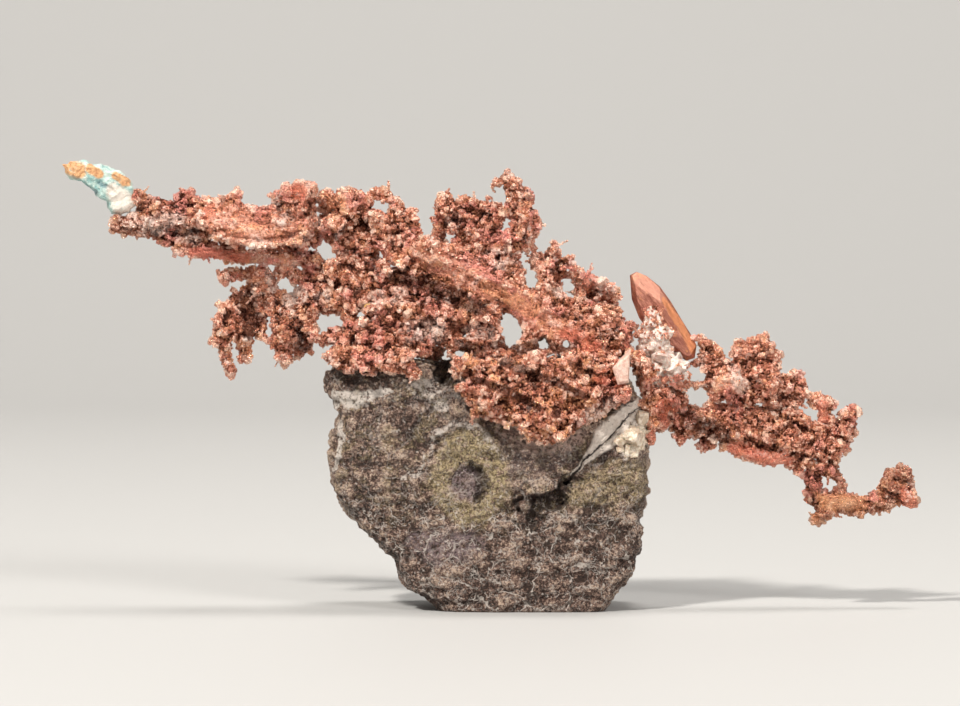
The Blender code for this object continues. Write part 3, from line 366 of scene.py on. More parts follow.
def connect(shader, **wires):
    """Links wires to a shader's sockets, named with underscores, and bump as a height in millimetres."""
    for name, wire in wires.items():
        if name == "bump":
            values = {"Height": wire, "Distance": 1.0 * MM, "Strength": 1.0}
            wire = wire.node("ShaderNodeBump", None, values)
            name = "Normal"
        wire.tree.links.new(wire.socket, shader.inputs[name.replace("_", " ")])


ROCK_DEEP = (0.030, 0.014, 0.008)
ROCK_MID = (0.182, 0.102, 0.077)
ROCK_PALE = (0.62, 0.46, 0.35)
ROCK_PURPLE = (0.105, 0.070, 0.068)
OLIVE_DARK = (0.155, 0.112, 0.052)
OLIVE = (0.520, 0.410, 0.225)
VEIN_WHITE = (0.76, 0.68, 0.61)
CREAM = (1.0, 0.88, 0.78)
PALE_ROSE = (0.62, 0.43, 0.36)
LILAC = (0.235, 0.175, 0.190)

shader, here = new_finish(basalt, "basalt", {"Specular IOR Level": 0.5})
marks = rock_marks(here)
cloud = here.noise(3.0, 9.0, 0.82)
speckle = here.noise(0.36, 4.0, 0.85)
mottled = here.noise(0.7, 4.0, 0.75)
grit = here.cells(0.30, "F1", "Color").axes()[0]
fleck = here.noise(0.9, 6.0, 0.85)
# painted shade and highlight: the rock's hollows, read from the relief the mesh keeps, are painted darker and
# its ridges paler
relief_shade = here.from_mesh("relief")
# painted shade: darker and less green towards the bottom, as if lit from above
low = here.axes()[2].fade(20.0, 8.0)
tone = cloud * 0.16 + speckle * 0.54 + fleck * 0.30 + relief_shade.fade(-1.1, 1.1) * 0.13 - 0.063 - low * 0.014
colour = cloud.node("ShaderNodeValToRGB", {"stops": [
    (0.458, ROCK_DEEP), (0.488, ROCK_MID), (0.512, ROCK_MID), (0.556, ROCK_PALE),
]}, {0: tone})
greenish = here.noise(2.2, 5.0, 0.75).fade(0.50, 0.60) * (1 - low) * 0.45
olive_grains = speckle.fade(0.44, 0.56).mix(OLIVE_DARK, OLIVE)
olive_rock = (marks["olive"] * 0.7).most(marks["ring"])
pale_lines = marks["rim"].most(marks["hook"]).most(marks["specks"] * 0.9)
veins = marks["top vein"].most(marks["edge vein"])
colour = colour.painted(
    (greenish, speckle.fade(0.46, 0.56).mix(OLIVE_DARK, OLIVE)),
    (marks["purple"] * 0.6 * fleck.fade(0.58, 0.48), ROCK_PURPLE),
    (marks["lilac"] * fleck.fade(0.44, 0.54) * 0.7, LILAC),
    (olive_rock * mottled.fade(0.40, 0.50) * 0.9, olive_grains),
    (marks["core"] * speckle.fade(0.44, 0.54) * 0.8, LILAC),
    # painted shadow in the groove round the ring's core
    (marks["shadowed_groove"] * 0.75, ROCK_DEEP),
    (marks["dark"] * mottled.fade(0.56, 0.46) * 0.9, ROCK_DEEP),
    (grit.fade(0.93, 0.97) * mottled.fade(0.44, 0.58) * 0.6, VEIN_WHITE),
    (marks["net"] * 0.75, VEIN_WHITE),
    (pale_lines * fleck.fade(0.47, 0.54) * 0.85, VEIN_WHITE),
    (veins * (fleck * 0.6 + mottled * 0.4).fade(0.43, 0.50) * 0.95, VEIN_WHITE),
    (marks["crust"] * mottled.fade(0.44, 0.54) * 0.8, PALE_ROSE),
    # painted shade in the dent in the rock's top
    (marks["hollow"] * 0.85, ROCK_DEEP),
    (marks["wedge"] * mottled.fade(0.30, 0.42) * (0.6 + fleck * 0.6), CREAM),
    (marks["lumps"] * mottled.fade(0.44, 0.52) * 0.9, CREAM),
    (marks["pits"] * here.noise(1.5, 2.0).fade(0.42, 0.60) * 0.8, ROCK_DEEP),
    (marks["crack"] * 0.95, ROCK_DEEP),
)
connect(
    shader, Base_Color=colour, Roughness=0.36 + speckle * 0.40,
    bump=speckle * 0.55 + mottled * 0.65 - here.cells(0.8) * 0.35 - marks["net"] * 0.15,
)


def stand_for(piece, node):
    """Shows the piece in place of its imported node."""
    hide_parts(node)
    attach(piece, "root")


stand_for(basalt, "basalt_matrix")


# The copper trunk is the main mass of native copper: a bent sheet of crystals along the rock's top edge, with
# open gaps between its struts. It is bare pink metal, with painted shade that turns it brown in its hollows and
# a painted highlight that pales it on its bumps, and its surface is all small cubes, octahedra and other
# crystals that grew out of the metal below.
def make_uneven(amount, seed):
    """Pushes every corner of the active piece about by a random amount."""
    edit_whole(bpy.ops.transform.vertex_random, offset=amount, seed=seed)


def keep_as_shape(shapes, uneven=0.0, seed=0):
    """Makes the active piece uneven, and puts it at the origin with the shapes that are scattered."""
    piece = bpy.context.object
    if uneven:
        make_uneven(uneven, seed)
    select_only(piece)
    bpy.ops.object.transform_apply(location=True, rotation=True, scale=True)
    for holder in list(piece.users_collection):
        holder.objects.unlink(piece)
    shapes.objects.link(piece)


# all these shapes are about one across, and are given their size where they are scattered
BOX_SIDES = [(0.92, 0.92, 0.92), (0.62, 0.70, 1.40), (1.10, 0.80, 0.44)]
crystals = bpy.data.collections.new("crystal shapes")
for seed in (3, 8):
    bpy.ops.mesh.primitive_ico_sphere_add(subdivisions=1, radius=0.58)
    keep_as_shape(crystals, 0.22, seed)
for seed, sides in enumerate(BOX_SIDES):
    bpy.ops.mesh.primitive_cube_add(size=1.0, scale=sides)
    keep_as_shape(crystals, 0.10, seed)
bpy.ops.mesh.primitive_cube_add(size=1.02)
edit_whole(bpy.ops.mesh.bevel, offset=0.34, affect="VERTICES")
keep_as_shape(crystals)
bpy.ops.mesh.primitive_uv_sphere_add(segments=4, ring_count=2, radius=0.76)
keep_as_shape(crystals, 0.08, 2)
bpy.ops.mesh.primitive_cylinder_add(vertices=6, radius=0.72, depth=0.30)
keep_as_shape(crystals, 0.07, 9)

# each twig is a bent stack of crystals that get smaller towards its tip, on +Z: its bend, twist and count
TWIGS = ((0.55, 0.9, 5), (-0.4, 1.7, 6), (0.2, 3.1, 4), (-0.7, 4.2, 5))
twigs = bpy.data.collections.new("twig shapes")
for bend, turn, count in TWIGS:
    stack = []
    for i in range(count):
        share = i / (count - 1)
        radius = 0.40 - 0.18 * share + 0.06 * sin(3.7 * i + turn)
        place = (bend * share * share * 0.8, 0.16 * sin(2.1 * i + turn), 0.18 + 0.34 * i)
        bpy.ops.mesh.primitive_ico_sphere_add(subdivisions=1, radius=radius, location=place)
        make_uneven(0.3 * radius, 10 * i + count)
        stack.append(bpy.context.object)
    bpy.ops.object.select_all(action="DESELECT")
    for piece in stack:
        piece.select_set(True)
    bpy.ops.object.join()
    keep_as_shape(twigs)

sand_shapes = bpy.data.collections.new("sand shapes")
bpy.ops.mesh.primitive_cube_add(size=0.86)
keep_as_shape(sand_shapes, 0.14, 6)
bpy.ops.mesh.primitive_uv_sphere_add(segments=4, ring_count=2, radius=0.72)
keep_as_shape(sand_shapes, 0.10, 7)
bpy.ops.mesh.primitive_uv_sphere_add(segments=3, ring_count=2, radius=0.78)
keep_as_shape(sand_shapes, 0.12, 4)


def random_between(wire, low, high, seed):
    """A random number from low to high, or a random vector if they are tuples, different at each point."""
    if isinstance(low, tuple):
        return wire.node("FunctionNodeRandomValue", {"data_type": "FLOAT_VECTOR"}, {0: low, 1: high, 8: seed})
    return wire.node("FunctionNodeRandomValue", {"data_type": "FLOAT"}, {2: low, 3: high, 8: seed}, output=1)


def scatter(mesh_in, shapes, seed, spacing, size, where, upright=False):
    """Shapes of these sizes, in millimetres, on a mesh, no closer than the spacing, as real mesh."""
    spread = {"Mesh": mesh_in, "Distance Min": spacing * MM, "Density Max": 3.0 / (spacing * MM) ** 2,
              "Density Factor": where, "Seed": seed}
    points = mesh_in.node("GeometryNodeDistributePointsOnFaces", {"distribute_method": "POISSON"}, spread)
    if upright:
        facing = Wire(points.tree, points.socket.node.outputs["Rotation"])
        spin = points.node("FunctionNodeAxisAngleToRotation", None, {
            "Axis": (0.0, 0.0, 1.0), "Angle": random_between(points, 0.0, tau, seed + 1),
        })
        turn = points.node("FunctionNodeRotateRotation", {"rotation_space": "LOCAL"}, {0: facing, 1: spin})
    else:
        turn = random_between(points, (0.0, 0.0, 0.0), (tau, tau, tau), seed + 1)
        turn = points.node("FunctionNodeEulerToRotation", None, {"Euler": turn})
    luck = random_between(points, 0.0, 1.0, seed + 5)
    luck = luck.math("POWER", luck, 2.0)
    stretch = random_between(points, (0.65, 0.65, 0.65), (1.35, 1.35, 1.35), seed + 2)
    stretch = stretch.scaled((luck * (size[1] - size[0]) + size[0]) * MM)
    shape = points.node("GeometryNodeCollectionInfo", None, {
        "Collection": shapes, "Separate Children": True, "Reset Children": True,
    })
    placed = points.node("GeometryNodeInstanceOnPoints", None, {
        "Points": points, "Instance": shape, "Pick Instance": True, "Rotation": turn, "Scale": stretch,
        "Instance Index": random_between(points, 0.0, 100.0, seed + 3),
    })
    toned = stored(placed, "grain", random_between(placed, 0.0, 1.0, seed + 4), "INSTANCE")
    return toned.node("GeometryNodeRealizeInstances", None, {"Geometry": toned})


def join_with(first, *others):
    """The meshes of several wires together."""
    joined = first.node("GeometryNodeJoinGeometry")
    for part in (first, *others):
        first.tree.links.new(part.socket, joined.socket.node.inputs[0])
    return joined


def inside(here, places):
    """1 in any of the places seen from the front, each a list of (x, z, half width), and 0 clear of them."""
    x, z = warped(here, [(1.4, 0.35)])
    found = None
    for points in places:
        line = stroke(x, z, points)
        found = line if found is None else found.most(line)
    return x * 0.0 if found is None else found


def along_grain(here, slant):
    """A place drawn out, so that noise on it runs in streaks that fall to the right by this angle."""
    settings = {"rotation_type": "Y_AXIS"}
    turned = here.node("ShaderNodeVectorRotate", settings, {"Vector": here, "Angle": -slant})
    return turned.vector("MULTIPLY", (0.2, 1.0, 1.0))


def bar(points):
    """A tapered round bar through points (x, y, z, radius), in millimetres."""
    bpy.ops.object.select_all(action="DESELECT")
    bpy.ops.curve.primitive_bezier_curve_add()
    curve = bpy.context.object
    curve.data.bevel_depth = MM
    curve.data.bevel_resolution = 3
    curve.data.use_fill_caps = True
    spline = curve.data.splines[0]
    spline.bezier_points.add(len(points) - 2)
    for knot, (x, y, z, radius) in zip(spline.bezier_points, points):
        knot.co = (x * MM, y * MM, z * MM)
        knot.radius = radius
        knot.handle_left_type = "AUTO"
        knot.handle_right_type = "AUTO"
    bpy.ops.object.convert(target="MESH")
    return bpy.context.object


def shade_flat(piece):
    select_only(piece)
    bpy.ops.object.shade_flat()


def twin_of(piece, name):
    """A new piece with a copy of another's mesh."""
    select_only(piece)
    bpy.ops.object.duplicate()
    bpy.context.object.name = name
    return bpy.context.object


# each kind of grain has a spacing, a least size and a most size, all in millimetres like the voxels
COPPER_VOXEL = 0.30
LUMPS = (1.25, 0.5, 1.8)
SMALL_LUMPS = (1.3, 0.5, 1.3)
GRAINS = (0.56, 0.32, 1.05)
SAND = (0.37, 0.20, 0.52)
TWIG_SIZES = (0.45, 0.85)
SAND_ON_BARE_METAL = 0.08


def grow_copper(
    node, name, seed, bars=(), cuts=(), bare=(), lumps=LUMPS, twig_gap=2.4, thin=0.08, slant=0.0,
    sand_apart=None,
):
    """Turns a copy of a branch into crystallised copper: bars are added, cuts taken out and bare places left
    smooth. The sand, its finest grains, can be a piece of its own."""
    added = [bar(points) for points in bars]
    piece = copy_of_node(node, name)
    for part in added:
        part.select_set(True)
    bpy.ops.object.join()
    apply_modifier(piece, "REMESH", mode="VOXEL", voxel_size=COPPER_VOXEL * MM)
    apply_modifier(piece, "SMOOTH", factor=0.5, iterations=2)
    apply_modifier(piece, "DISPLACE", strength=-thin * MM, mid_level=0.0)
    for points in cuts:
        cutter = bar(points)
        apply_modifier(cutter, "REMESH", mode="VOXEL", voxel_size=COPPER_VOXEL * MM)
        apply_modifier(piece, "BOOLEAN", object=cutter, operation="DIFFERENCE", solver="EXACT")
        bpy.data.objects.remove(cutter)
    mesh_in, here = shape_graph(name)
    rough = 1 - inside(here, bare)
    apply_graph(piece, join_with(mesh_in, scatter(mesh_in, crystals, seed, lumps[0], lumps[1:], rough)))
    apply_modifier(piece, "REMESH", mode="VOXEL", voxel_size=COPPER_VOXEL * MM)

    mesh_in, here = shape_graph(name)
    rough = 1 - inside(here, bare)
    place = mesh_in.node("GeometryNodeInputPosition")
    values = {"Value": place, "Iterations": 11}
    level = place.node("GeometryNodeBlurAttribute", {"data_type": "FLOAT_VECTOR"}, values)
    outward = place.node("GeometryNodeInputNormal")
    bulge = place.vector("SUBTRACT", level).vector("DOT_PRODUCT", outward, output="Value")
    bulge = (bulge / MM).fade(-0.30, 0.35)
    # bulge, how far each point stands out from its blurred level, later sets the copper's painted shade and
    # highlight
    ground = stored(stored(mesh_in, "bulge", bulge), "rough", rough)
    hackly = (0.40 - here.cells(1.3, metric="CHEBYCHEV")) * 0.9
    hackly = hackly + (0.35 - here.cells(0.7, metric="CHEBYCHEV")) * 0.3
    streaks = (along_grain(here, slant).noise(0.7, 3.0, 0.6) - 0.5) * 1.1 + (0.45 - here.cells(2.4)) * 0.5
    apply_graph(piece, push_out(ground, hackly * (rough * 0.75 + 0.25) + streaks * (1 - rough)))

    if sand_apart:
        apart = twin_of(piece, sand_apart)
        mesh_in, here = shape_graph(sand_apart)
        sandy = recalled(mesh_in, "rough").most(SAND_ON_BARE_METAL)
        apply_graph(apart, scatter(mesh_in, sand_shapes, seed + 60, SAND[0], SAND[1:], sandy))
        shade_flat(apart)
    mesh_in, here = shape_graph(name)
    rough = recalled(mesh_in, "rough")
    bulge = recalled(mesh_in, "bulge")
    layers = [scatter(mesh_in, crystals, seed + 20, GRAINS[0], GRAINS[1:], rough)]
    outer = bulge.fade(0.55, 0.8) * rough
    layers.append(scatter(mesh_in, twigs, seed + 40, twig_gap, TWIG_SIZES, outer, upright=True))
    if not sand_apart:
        sandy = rough.most(SAND_ON_BARE_METAL)
        layers.append(scatter(mesh_in, sand_shapes, seed + 60, SAND[0], SAND[1:], sandy))
    apply_graph(piece, join_with(mesh_in, *layers))
    shade_flat(piece)
    return piece


# the copper colours: the deep and dull ones are painted shade in the hollows, the bright one a painted
# highlight on the bumps, and the slate one a greyish painted shade in the hollows
DEEP_COPPER = (0.060, 0.013, 0.006)
DULL_COPPER = (0.290, 0.110, 0.058)
COPPER = (0.70, 0.295, 0.196)
BRIGHT_COPPER = (1.0, 0.71, 0.57)
ORANGE_COPPER = (0.86, 0.45, 0.22)
ROSE_COPPER = (0.78, 0.31, 0.27)
RED_COPPER = (0.64, 0.17, 0.10)
SHADE_SLATE_COPPER = (0.085, 0.036, 0.032)
CALCITE_DUST = (0.86, 0.70, 0.63)


def copper_finish(
    piece, tint=COPPER, bright=BRIGHT_COPPER, orange=0.42, rose=0.6, white=(), glow=(), red=(), dark=(),
    dust=0.10, slant=0.0,
):
    """Bare copper on a piece, with painted shade in its hollows and a painted highlight on its bumps. The
    lists are places of white dust, orange, red and painted shadow, and slant turns the brushed grain of the
    bare metal."""
    shader, here = new_finish(piece, piece.name, {"Specular IOR Level": 0.5})
    grain = here.from_mesh("grain")
    bulge = here.from_mesh("bulge")
    cloud = here.noise(4.2, 4.0, 0.65)
    fine = here.noise(0.42, 5.0, 0.8)
    patch = here.noise(2.0, 4.0, 0.7)
    streaks = along_grain(here, slant).noise(0.4, 3.0, 0.7)
    smooth = 1 - here.from_mesh("rough")
    # painted shade and highlight: the ramp paints the hollows, where bulge is low, and the metal between the
    # grains dark, and the bumps and grains that stand out pale; bare metal is lifted out of the painted shade
    shade = grain * 0.46 + bulge * 0.58 + (cloud - 0.5) * 0.6 + (fine - 0.5) * 1.3
    shade = shade + smooth * (0.26 + (streaks - 0.5) * 0.9)
    colour = shade.node("ShaderNodeValToRGB", {"stops": [
        (0.14, DEEP_COPPER), (0.33, DULL_COPPER), (0.54, tint), (0.88, bright),
    ]}, {0: shade})
    lit = shade.fade(0.25, 0.50)
    layers = [
        (patch.fade(0.50, 0.62) * lit * orange, ORANGE_COPPER),
        (cloud.fade(0.50, 0.36) * lit * rose, ROSE_COPPER),
        # painted shade: greyish slate copper in the hollows
        (bulge.fade(0.45, 0.20) * patch.fade(0.48, 0.36) * 0.7, SHADE_SLATE_COPPER),
    ]
    if glow:
        layers.append((inside(here, glow) * lit * (fine * 0.75), ORANGE_COPPER))
    if red:
        layers.append((inside(here, red) * lit * (0.2 + fine * 0.8), RED_COPPER))
    # painted shadow: the dark places are painted deep copper, where shade falls
    if dark:
        layers.append((inside(here, dark) * (0.4 + fine * 0.6), DEEP_COPPER))
    dusted = here.noise(2.6, 6.0, 0.8).fade(0.66 - dust, 0.76 - dust)
    if white:
        dusted = dusted.most(inside(here, white) * patch.fade(0.40, 0.54))
    dusted = dusted * fine.fade(0.36, 0.56) * (0.35 + bulge * 0.9)
    colour = colour.painted(*layers, (dusted * 0.85, CALCITE_DUST))
    roughness = 0.14 + fine.fade(0.34, 0.66) * 0.36 + dusted * 0.2
    bump = fine * 0.34 + streaks * smooth * 0.35
    connect(shader, Base_Color=colour, Metallic=0.82 - dusted * 0.7, Roughness=roughness, bump=bump)


def show_branch(name, slot, seed, looks=None, **growth):
    """A branch grown into copper and finished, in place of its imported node. Its looks go to copper_finish."""
    piece = grow_copper("copper_" + name, name, seed, **growth)
    copper_finish(piece, **(looks or {}))
    stand_for(piece, "copper_" + name)


RIDGE_TOP = [
    (-14.2, -3.6, 54.0, 1.2), (-10.0, -5.0, 52.8, 1.9), (-4.0, -4.4, 50.4, 2.0), (1.2, -4.0, 47.4, 1.8),
    (6.6, -4.3, 43.8, 1.6), (11.6, -5.0, 41.2, 1.5), (15.0, -6.0, 39.8, 0.9),
]
RIDGE_FOOT = [
    (-12.6, -3.8, 52.4, 0.9), (-7.8, -4.6, 50.2, 1.6), (-4.4, -4.3, 48.4, 1.8), (0.8, -3.7, 46.2, 1.5),
    (5.6, -4.2, 42.4, 1.8), (10.4, -4.9, 39.8, 1.6), (13.4, -6.0, 38.2, 1.0),
]
TRUNK_FILL = [
    [(-22.6, -3.0, 47.0, 0.9), (-21.6, -3.0, 44.4, 0.9)], [(-11.2, -1.0, 38.6, 1.0), (-8.8, -1.0, 38.0, 1.1)],
    [(-6.2, 0.0, 39.6, 0.9), (-3.8, 0.0, 38.8, 1.2)], [(5.4, -1.0, 56.2, 0.7), (3.4, -1.0, 54.0, 0.9)],
    [(16.8, -2.0, 48.0, 0.8), (18.0, -2.0, 46.4, 0.8)], [(12.6, -1.0, 49.8, 0.6), (15.6, -1.0, 48.8, 0.7)],
]
SEAM = [
    (-6.4, -7.6, 40.0, 0.5), (-3.6, -8.0, 38.9, 0.7), (0.4, -7.9, 39.8, 0.6), (3.2, -7.6, 38.8, 0.8),
    (6.4, -7.6, 39.8, 0.8), (8.6, -7.2, 38.8, 0.6), (11.2, -7.2, 39.6, 0.5),
]
TRUNK_BACK = 8.0
TRUNK_HOLES = [
    (4.3, -8.0, 51.0, 0.7), (4.4, -8.0, 49.8, 1.0), (4.8, -8.0, 48.5, 1.1), (6.2, -10.0, 39.9, 0.7),
    (9.8, -10.0, 39.7, 0.6),
]
TRUNK_CUTS = [SEAM] + [[hole, (hole[0], TRUNK_BACK, *hole[2:])] for hole in TRUNK_HOLES]
TRUNK_GAPS = [
    [(4.5, 50.8, 1.0), (4.6, 48.8, 1.4)], [(1.8, 43.6, 1.3), (1.9, 41.0, 1.4)], [(-25.8, 53.2, 1.4)],
    [(6.2, 39.8, 1.2)], [(9.8, 39.6, 1.0)], [(-26.0, 42.8, 1.4)],
]
BEAD_ARM = [(-17.6, -4.4, 45.2, 0.7), (-18.8, -4.9, 45.0, 0.5), (-19.5, -5.1, 45.0, 0.35)]
RIDGE_BARE = [
    (-14.0, 53.4, 1.0), (-9.4, 51.4, 1.6), (-3.8, 49.2, 2.4), (1.4, 46.4, 2.4), (6.4, 43.4, 2.1),
    (12.2, 40.0, 1.4),
]
TRUNK_WHITE = [
    [(-19.0, 46.6, 0.8), (-15.0, 46.8, 1.4)], [(-13.4, 41.4, 1.6), (-9.4, 41.6, 1.8)], [(-26.6, 46.8, 1.4)],
    [(-0.6, 52.4, 1.6), (2.8, 52.8, 1.0)], [(-33.4, 47.8, 1.2), (-30.0, 46.8, 1.4)], [(-27.6, 54.2, 1.4)],
    [(16.0, 48.4, 1.6)], [(-4.4, 41.4, 1.2), (-1.0, 41.6, 1.2)], [(-9.8, 56.0, 1.2)], [(9.0, 47.6, 1.2)],
]
# painted shadow: the dark line under the ridge, and the seam between the trunk and the apron painted dark as a
# shadow line
TRUNK_PAINTED_SHADOW = [
    [(-16.0, 49.6, 0.8), (-10.0, 48.2, 1.2), (-3.0, 45.0, 1.2)], [(x, z, radius) for x, y, z, radius in SEAM],
]
TRUNK_SLANT = radians(30.0)
trunk = grow_copper(
    "copper_trunk", "trunk", 101, bars=[RIDGE_TOP, RIDGE_FOOT, BEAD_ARM, *TRUNK_FILL], cuts=TRUNK_CUTS,
    bare=[RIDGE_BARE, *TRUNK_GAPS], slant=TRUNK_SLANT, sand_apart="trunk_small_grains",
)
trunk_sand = bpy.data.objects["trunk_small_grains"]
for piece in (trunk, trunk_sand):
    copper_finish(
        piece, white=TRUNK_WHITE, glow=[[(-2.0, 48.2, 1.0), (4.6, 44.4, 1.1)]],
        red=[[(10.0, 41.0, 1.2), (13.6, 39.4, 1.4)]], dark=TRUNK_PAINTED_SHADOW, slant=TRUNK_SLANT,
    )
stand_for(trunk, "copper_trunk")
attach(trunk_sand, "root")

BEAD_PLACE = Vector((-19.7, -5.3, 45.0))
BEAD_YELLOW = (0.85, 0.62, 0.25)
BEAD_BROWN = (0.55, 0.30, 0.06)
bpy.ops.mesh.primitive_ico_sphere_add(subdivisions=2, radius=0.62 * MM, location=BEAD_PLACE * MM)
bead = bpy.context.object
bead.name = "yellow_bead"
bpy.ops.object.transform_apply(location=True, rotation=True, scale=True)
shader, here = new_finish(bead, "yellow bead", {})
fine = here.noise(0.4, 3.0, 0.7)
colour = fine.fade(0.3, 0.7).mix(BEAD_BROWN, BEAD_YELLOW)
connect(shader, Base_Color=colour, Metallic=0.4 + fine * 0.3, Roughness=0.3 + fine * 0.3, bump=fine * 0.2)
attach(bead, "root")


# The apron is a crust of coarser, browner copper that hangs from the trunk over the upper front of the rock.
# It is copper grown into the rock's surface, with painted shade that makes it darker between the grains than
# the rest, and painted shadow lines along it.
APRON_FILL = [
    [(-5.0, -8.6, 36.8, 1.1), (0.6, -9.2, 35.0, 1.5), (6.0, -9.8, 32.6, 1.6), (11.0, -9.7, 30.2, 1.2)],
    [(3.6, -9.0, 37.0, 1.0), (9.4, -9.6, 34.8, 1.5), (15.4, -9.2, 32.8, 1.2)],
    [(-2.6, -9.0, 33.2, 1.0), (3.0, -9.8, 30.4, 1.4), (7.6, -9.9, 28.0, 1.2)],
    [(11.2, -9.2, 36.8, 1.0), (15.6, -9.2, 35.6, 1.2)],
    [(9.8, -8.7, 27.8, 1.0), (13.4, -8.9, 29.4, 1.2), (16.4, -8.7, 31.2, 1.2), (18.4, -8.0, 33.2, 0.9)],
]
show_branch(
    "apron", "copper_brown", 151, bars=APRON_FILL, thin=0.3,
    looks=dict(
        orange=0.7, rose=0.4, white=[[(12.4, 28.6, 1.2), (16.0, 30.8, 1.2)]],
        red=[[(14.6, 35.0, 1.2), (17.6, 34.2, 1.0)]],
        # painted shadow lines across the apron
        dark=[
            [(-3.6, 34.6, 0.5), (1.0, 33.0, 0.6), (5.6, 30.4, 0.5)],
            [(0.6, 37.2, 0.7), (6.6, 34.8, 0.5), (12.6, 32.2, 0.5)],
        ],
    ),
)


# The left branches run out from the trunk: a long lower spar, a thicker blade with a curled edge above, and a
# short stub below. All three are copper, rosier than the trunk, with white calcite dust near the far end.
SPAR_ROD = [
    (-49.0, -1.0, 53.8, 0.9), (-45.0, -1.1, 53.4, 1.2), (-40.5, -1.2, 52.8, 1.2), (-35.2, -1.2, 52.3, 1.2),
    (-30.0, -1.0, 51.8, 1.0),
]
SPAR_CORNER = [(-55.2, -1.0, 62.0, 0.8), (-53.8, -1.0, 61.2, 1.0), (-51.6, -1.0, 59.8, 0.8)]
SPAR_SLANT = radians(8.0)
SPAR_WHITE = [
    [(-55.4, 58.0, 1.6)], [(-53.0, 57.0, 1.6), (-48.4, 57.8, 1.6)], [(-46.0, 55.6, 1.4)],
    [(-29.6, 54.4, 1.6)],
]
# the spar's copper colours: the second is its painted highlight on the bumps
WORN_COPPER = (0.58, 0.245, 0.165)
SPAR_BRIGHT = (0.86, 0.59, 0.47)
show_branch(
    "west_spar", "copper_pink", 201, bars=[SPAR_ROD, SPAR_CORNER], slant=SPAR_SLANT, thin=0.2,
    bare=[[(-48.0, 53.7, 0.7), (-40.5, 52.8, 0.9), (-30.0, 51.8, 0.8)]],
    looks=dict(
        tint=WORN_COPPER, bright=SPAR_BRIGHT, rose=0.7, white=SPAR_WHITE,
        red=[[(-46.0, 53.4, 0.6), (-38.0, 52.4, 0.8)]], slant=SPAR_SLANT,
    ),
)

CRESCENT = [
    (-44.8, -3.6, 59.0, 1.1), (-42.2, -4.5, 57.8, 1.9), (-38.4, -4.5, 56.5, 1.8), (-34.6, -4.6, 56.0, 1.7),
    (-31.0, -4.6, 56.6, 1.4), (-28.0, -4.0, 58.2, 0.9),
]
CRESCENT_LIP = [
    (-42.4, -5.6, 56.0, 0.4), (-38.2, -6.3, 54.8, 0.55), (-34.2, -6.3, 54.4, 0.55), (-30.6, -6.1, 55.1, 0.5),
    (-28.2, -5.4, 56.6, 0.35),
]
CRESCENT_BACK = [
    (-44.0, -2.8, 60.2, 1.2), (-40.4, -3.3, 59.0, 1.6), (-36.0, -3.4, 58.4, 1.7), (-31.6, -3.6, 58.8, 1.5),
]
BLADE_TOP = [(-44.0, -2.4, 60.6, 0.8), (-39.0, -2.6, 59.5, 0.9), (-34.4, -2.8, 59.3, 0.8)]
BLADE_BACK = [
    [(-42.0, -0.6, 55.4, 0.8), (-37.4, -0.6, 54.7, 0.7)],
    [(-33.2, -0.8, 55.0, 0.8), (-26.6, -0.8, 55.2, 1.0)],
    [(-41.4, -0.2, 54.2, 0.8), (-38.2, -0.2, 53.9, 0.8)],
    [(-35.0, -0.2, 54.0, 0.8), (-29.0, -0.2, 53.9, 0.9)],
]
COIN = [(-29.9, -5.6, 62.3, 1.75), (-29.9, -3.8, 62.3, 1.9)]
BLADE_BARE = [
    [(-42.8, 59.0, 1.6), (-40.8, 57.8, 1.9), (-37.4, 56.8, 2.7), (-33.2, 56.6, 2.7), (-29.8, 57.4, 1.8)],
    [(-29.9, 62.2, 1.6)], [(-32.8, 63.8, 1.2), (-29.8, 64.4, 1.2), (-27.8, 63.8, 1.1)],
    [(-37.6, 61.0, 1.0), (-34.8, 61.0, 1.0)],
]
show_branch(
    "west_blade", "copper_pink", 221, bare=BLADE_BARE,
    bars=[CRESCENT, CRESCENT_LIP, CRESCENT_BACK, BLADE_TOP, COIN, *BLADE_BACK],
    looks=dict(rose=0.55, dust=0.14, red=[[(-43.2, 59.0, 1.1)], [(-29.9, 62.3, 1.3)]], slant=radians(6.0)),
)

show_branch(
    "stub", "copper_pink", 241, lumps=SMALL_LUMPS,
    looks=dict(white=[[(-34.0, 49.4, 1.4), (-34.4, 46.6, 1.4)]]),
)


# Two branches hang from the stub: a fan of thin fingers, with painted shade in its hollow middle, and a lobe,
# with painted shade on its right. Both are copper, with painted shade brown in their hollows and a painted
# highlight bright on their edges.
FAN_MIDDLE = [
    [(-38.6, 0.9, 47.0, 1.1), (-37.4, 0.9, 44.0, 1.4), (-37.8, 0.9, 41.4, 1.2), (-38.8, 0.9, 39.0, 0.8)],
    [(-41.6, 0.6, 40.0, 0.8), (-40.8, 0.6, 36.6, 0.6), (-39.8, 0.6, 34.9, 0.4)],
]
show_branch(
    "hanging_fan", "copper_brown", 261, bars=FAN_MIDDLE, lumps=SMALL_LUMPS,
    # painted shade in the fan's hollow middle
    looks=dict(orange=0.6, rose=0.2, dark=[[(-38.0, 46.4, 1.2), (-37.0, 43.4, 1.4), (-37.8, 40.8, 0.8)]]),
)

LOBE_LINKS = [
    [(-36.4, 0.0, 49.4, 0.8), (-35.2, 0.0, 47.0, 0.9), (-34.2, 0.0, 45.6, 0.8), (-33.9, 0.0, 42.8, 0.5)],
    [(-34.2, 0.0, 46.4, 0.8), (-30.8, 0.0, 46.0, 0.9)],
]
show_branch(
    "hanging_lobe", "copper_brown", 281, bars=LOBE_LINKS,
    looks=dict(
        # painted shade on the lobe's right
        rose=0.2, dark=[[(-29.0, 42.0, 1.0), (-29.4, 39.6, 1.3)]],
        white=[[(-31.4, 46.0, 1.4), (-29.6, 45.0, 1.0)]],
    ),
)


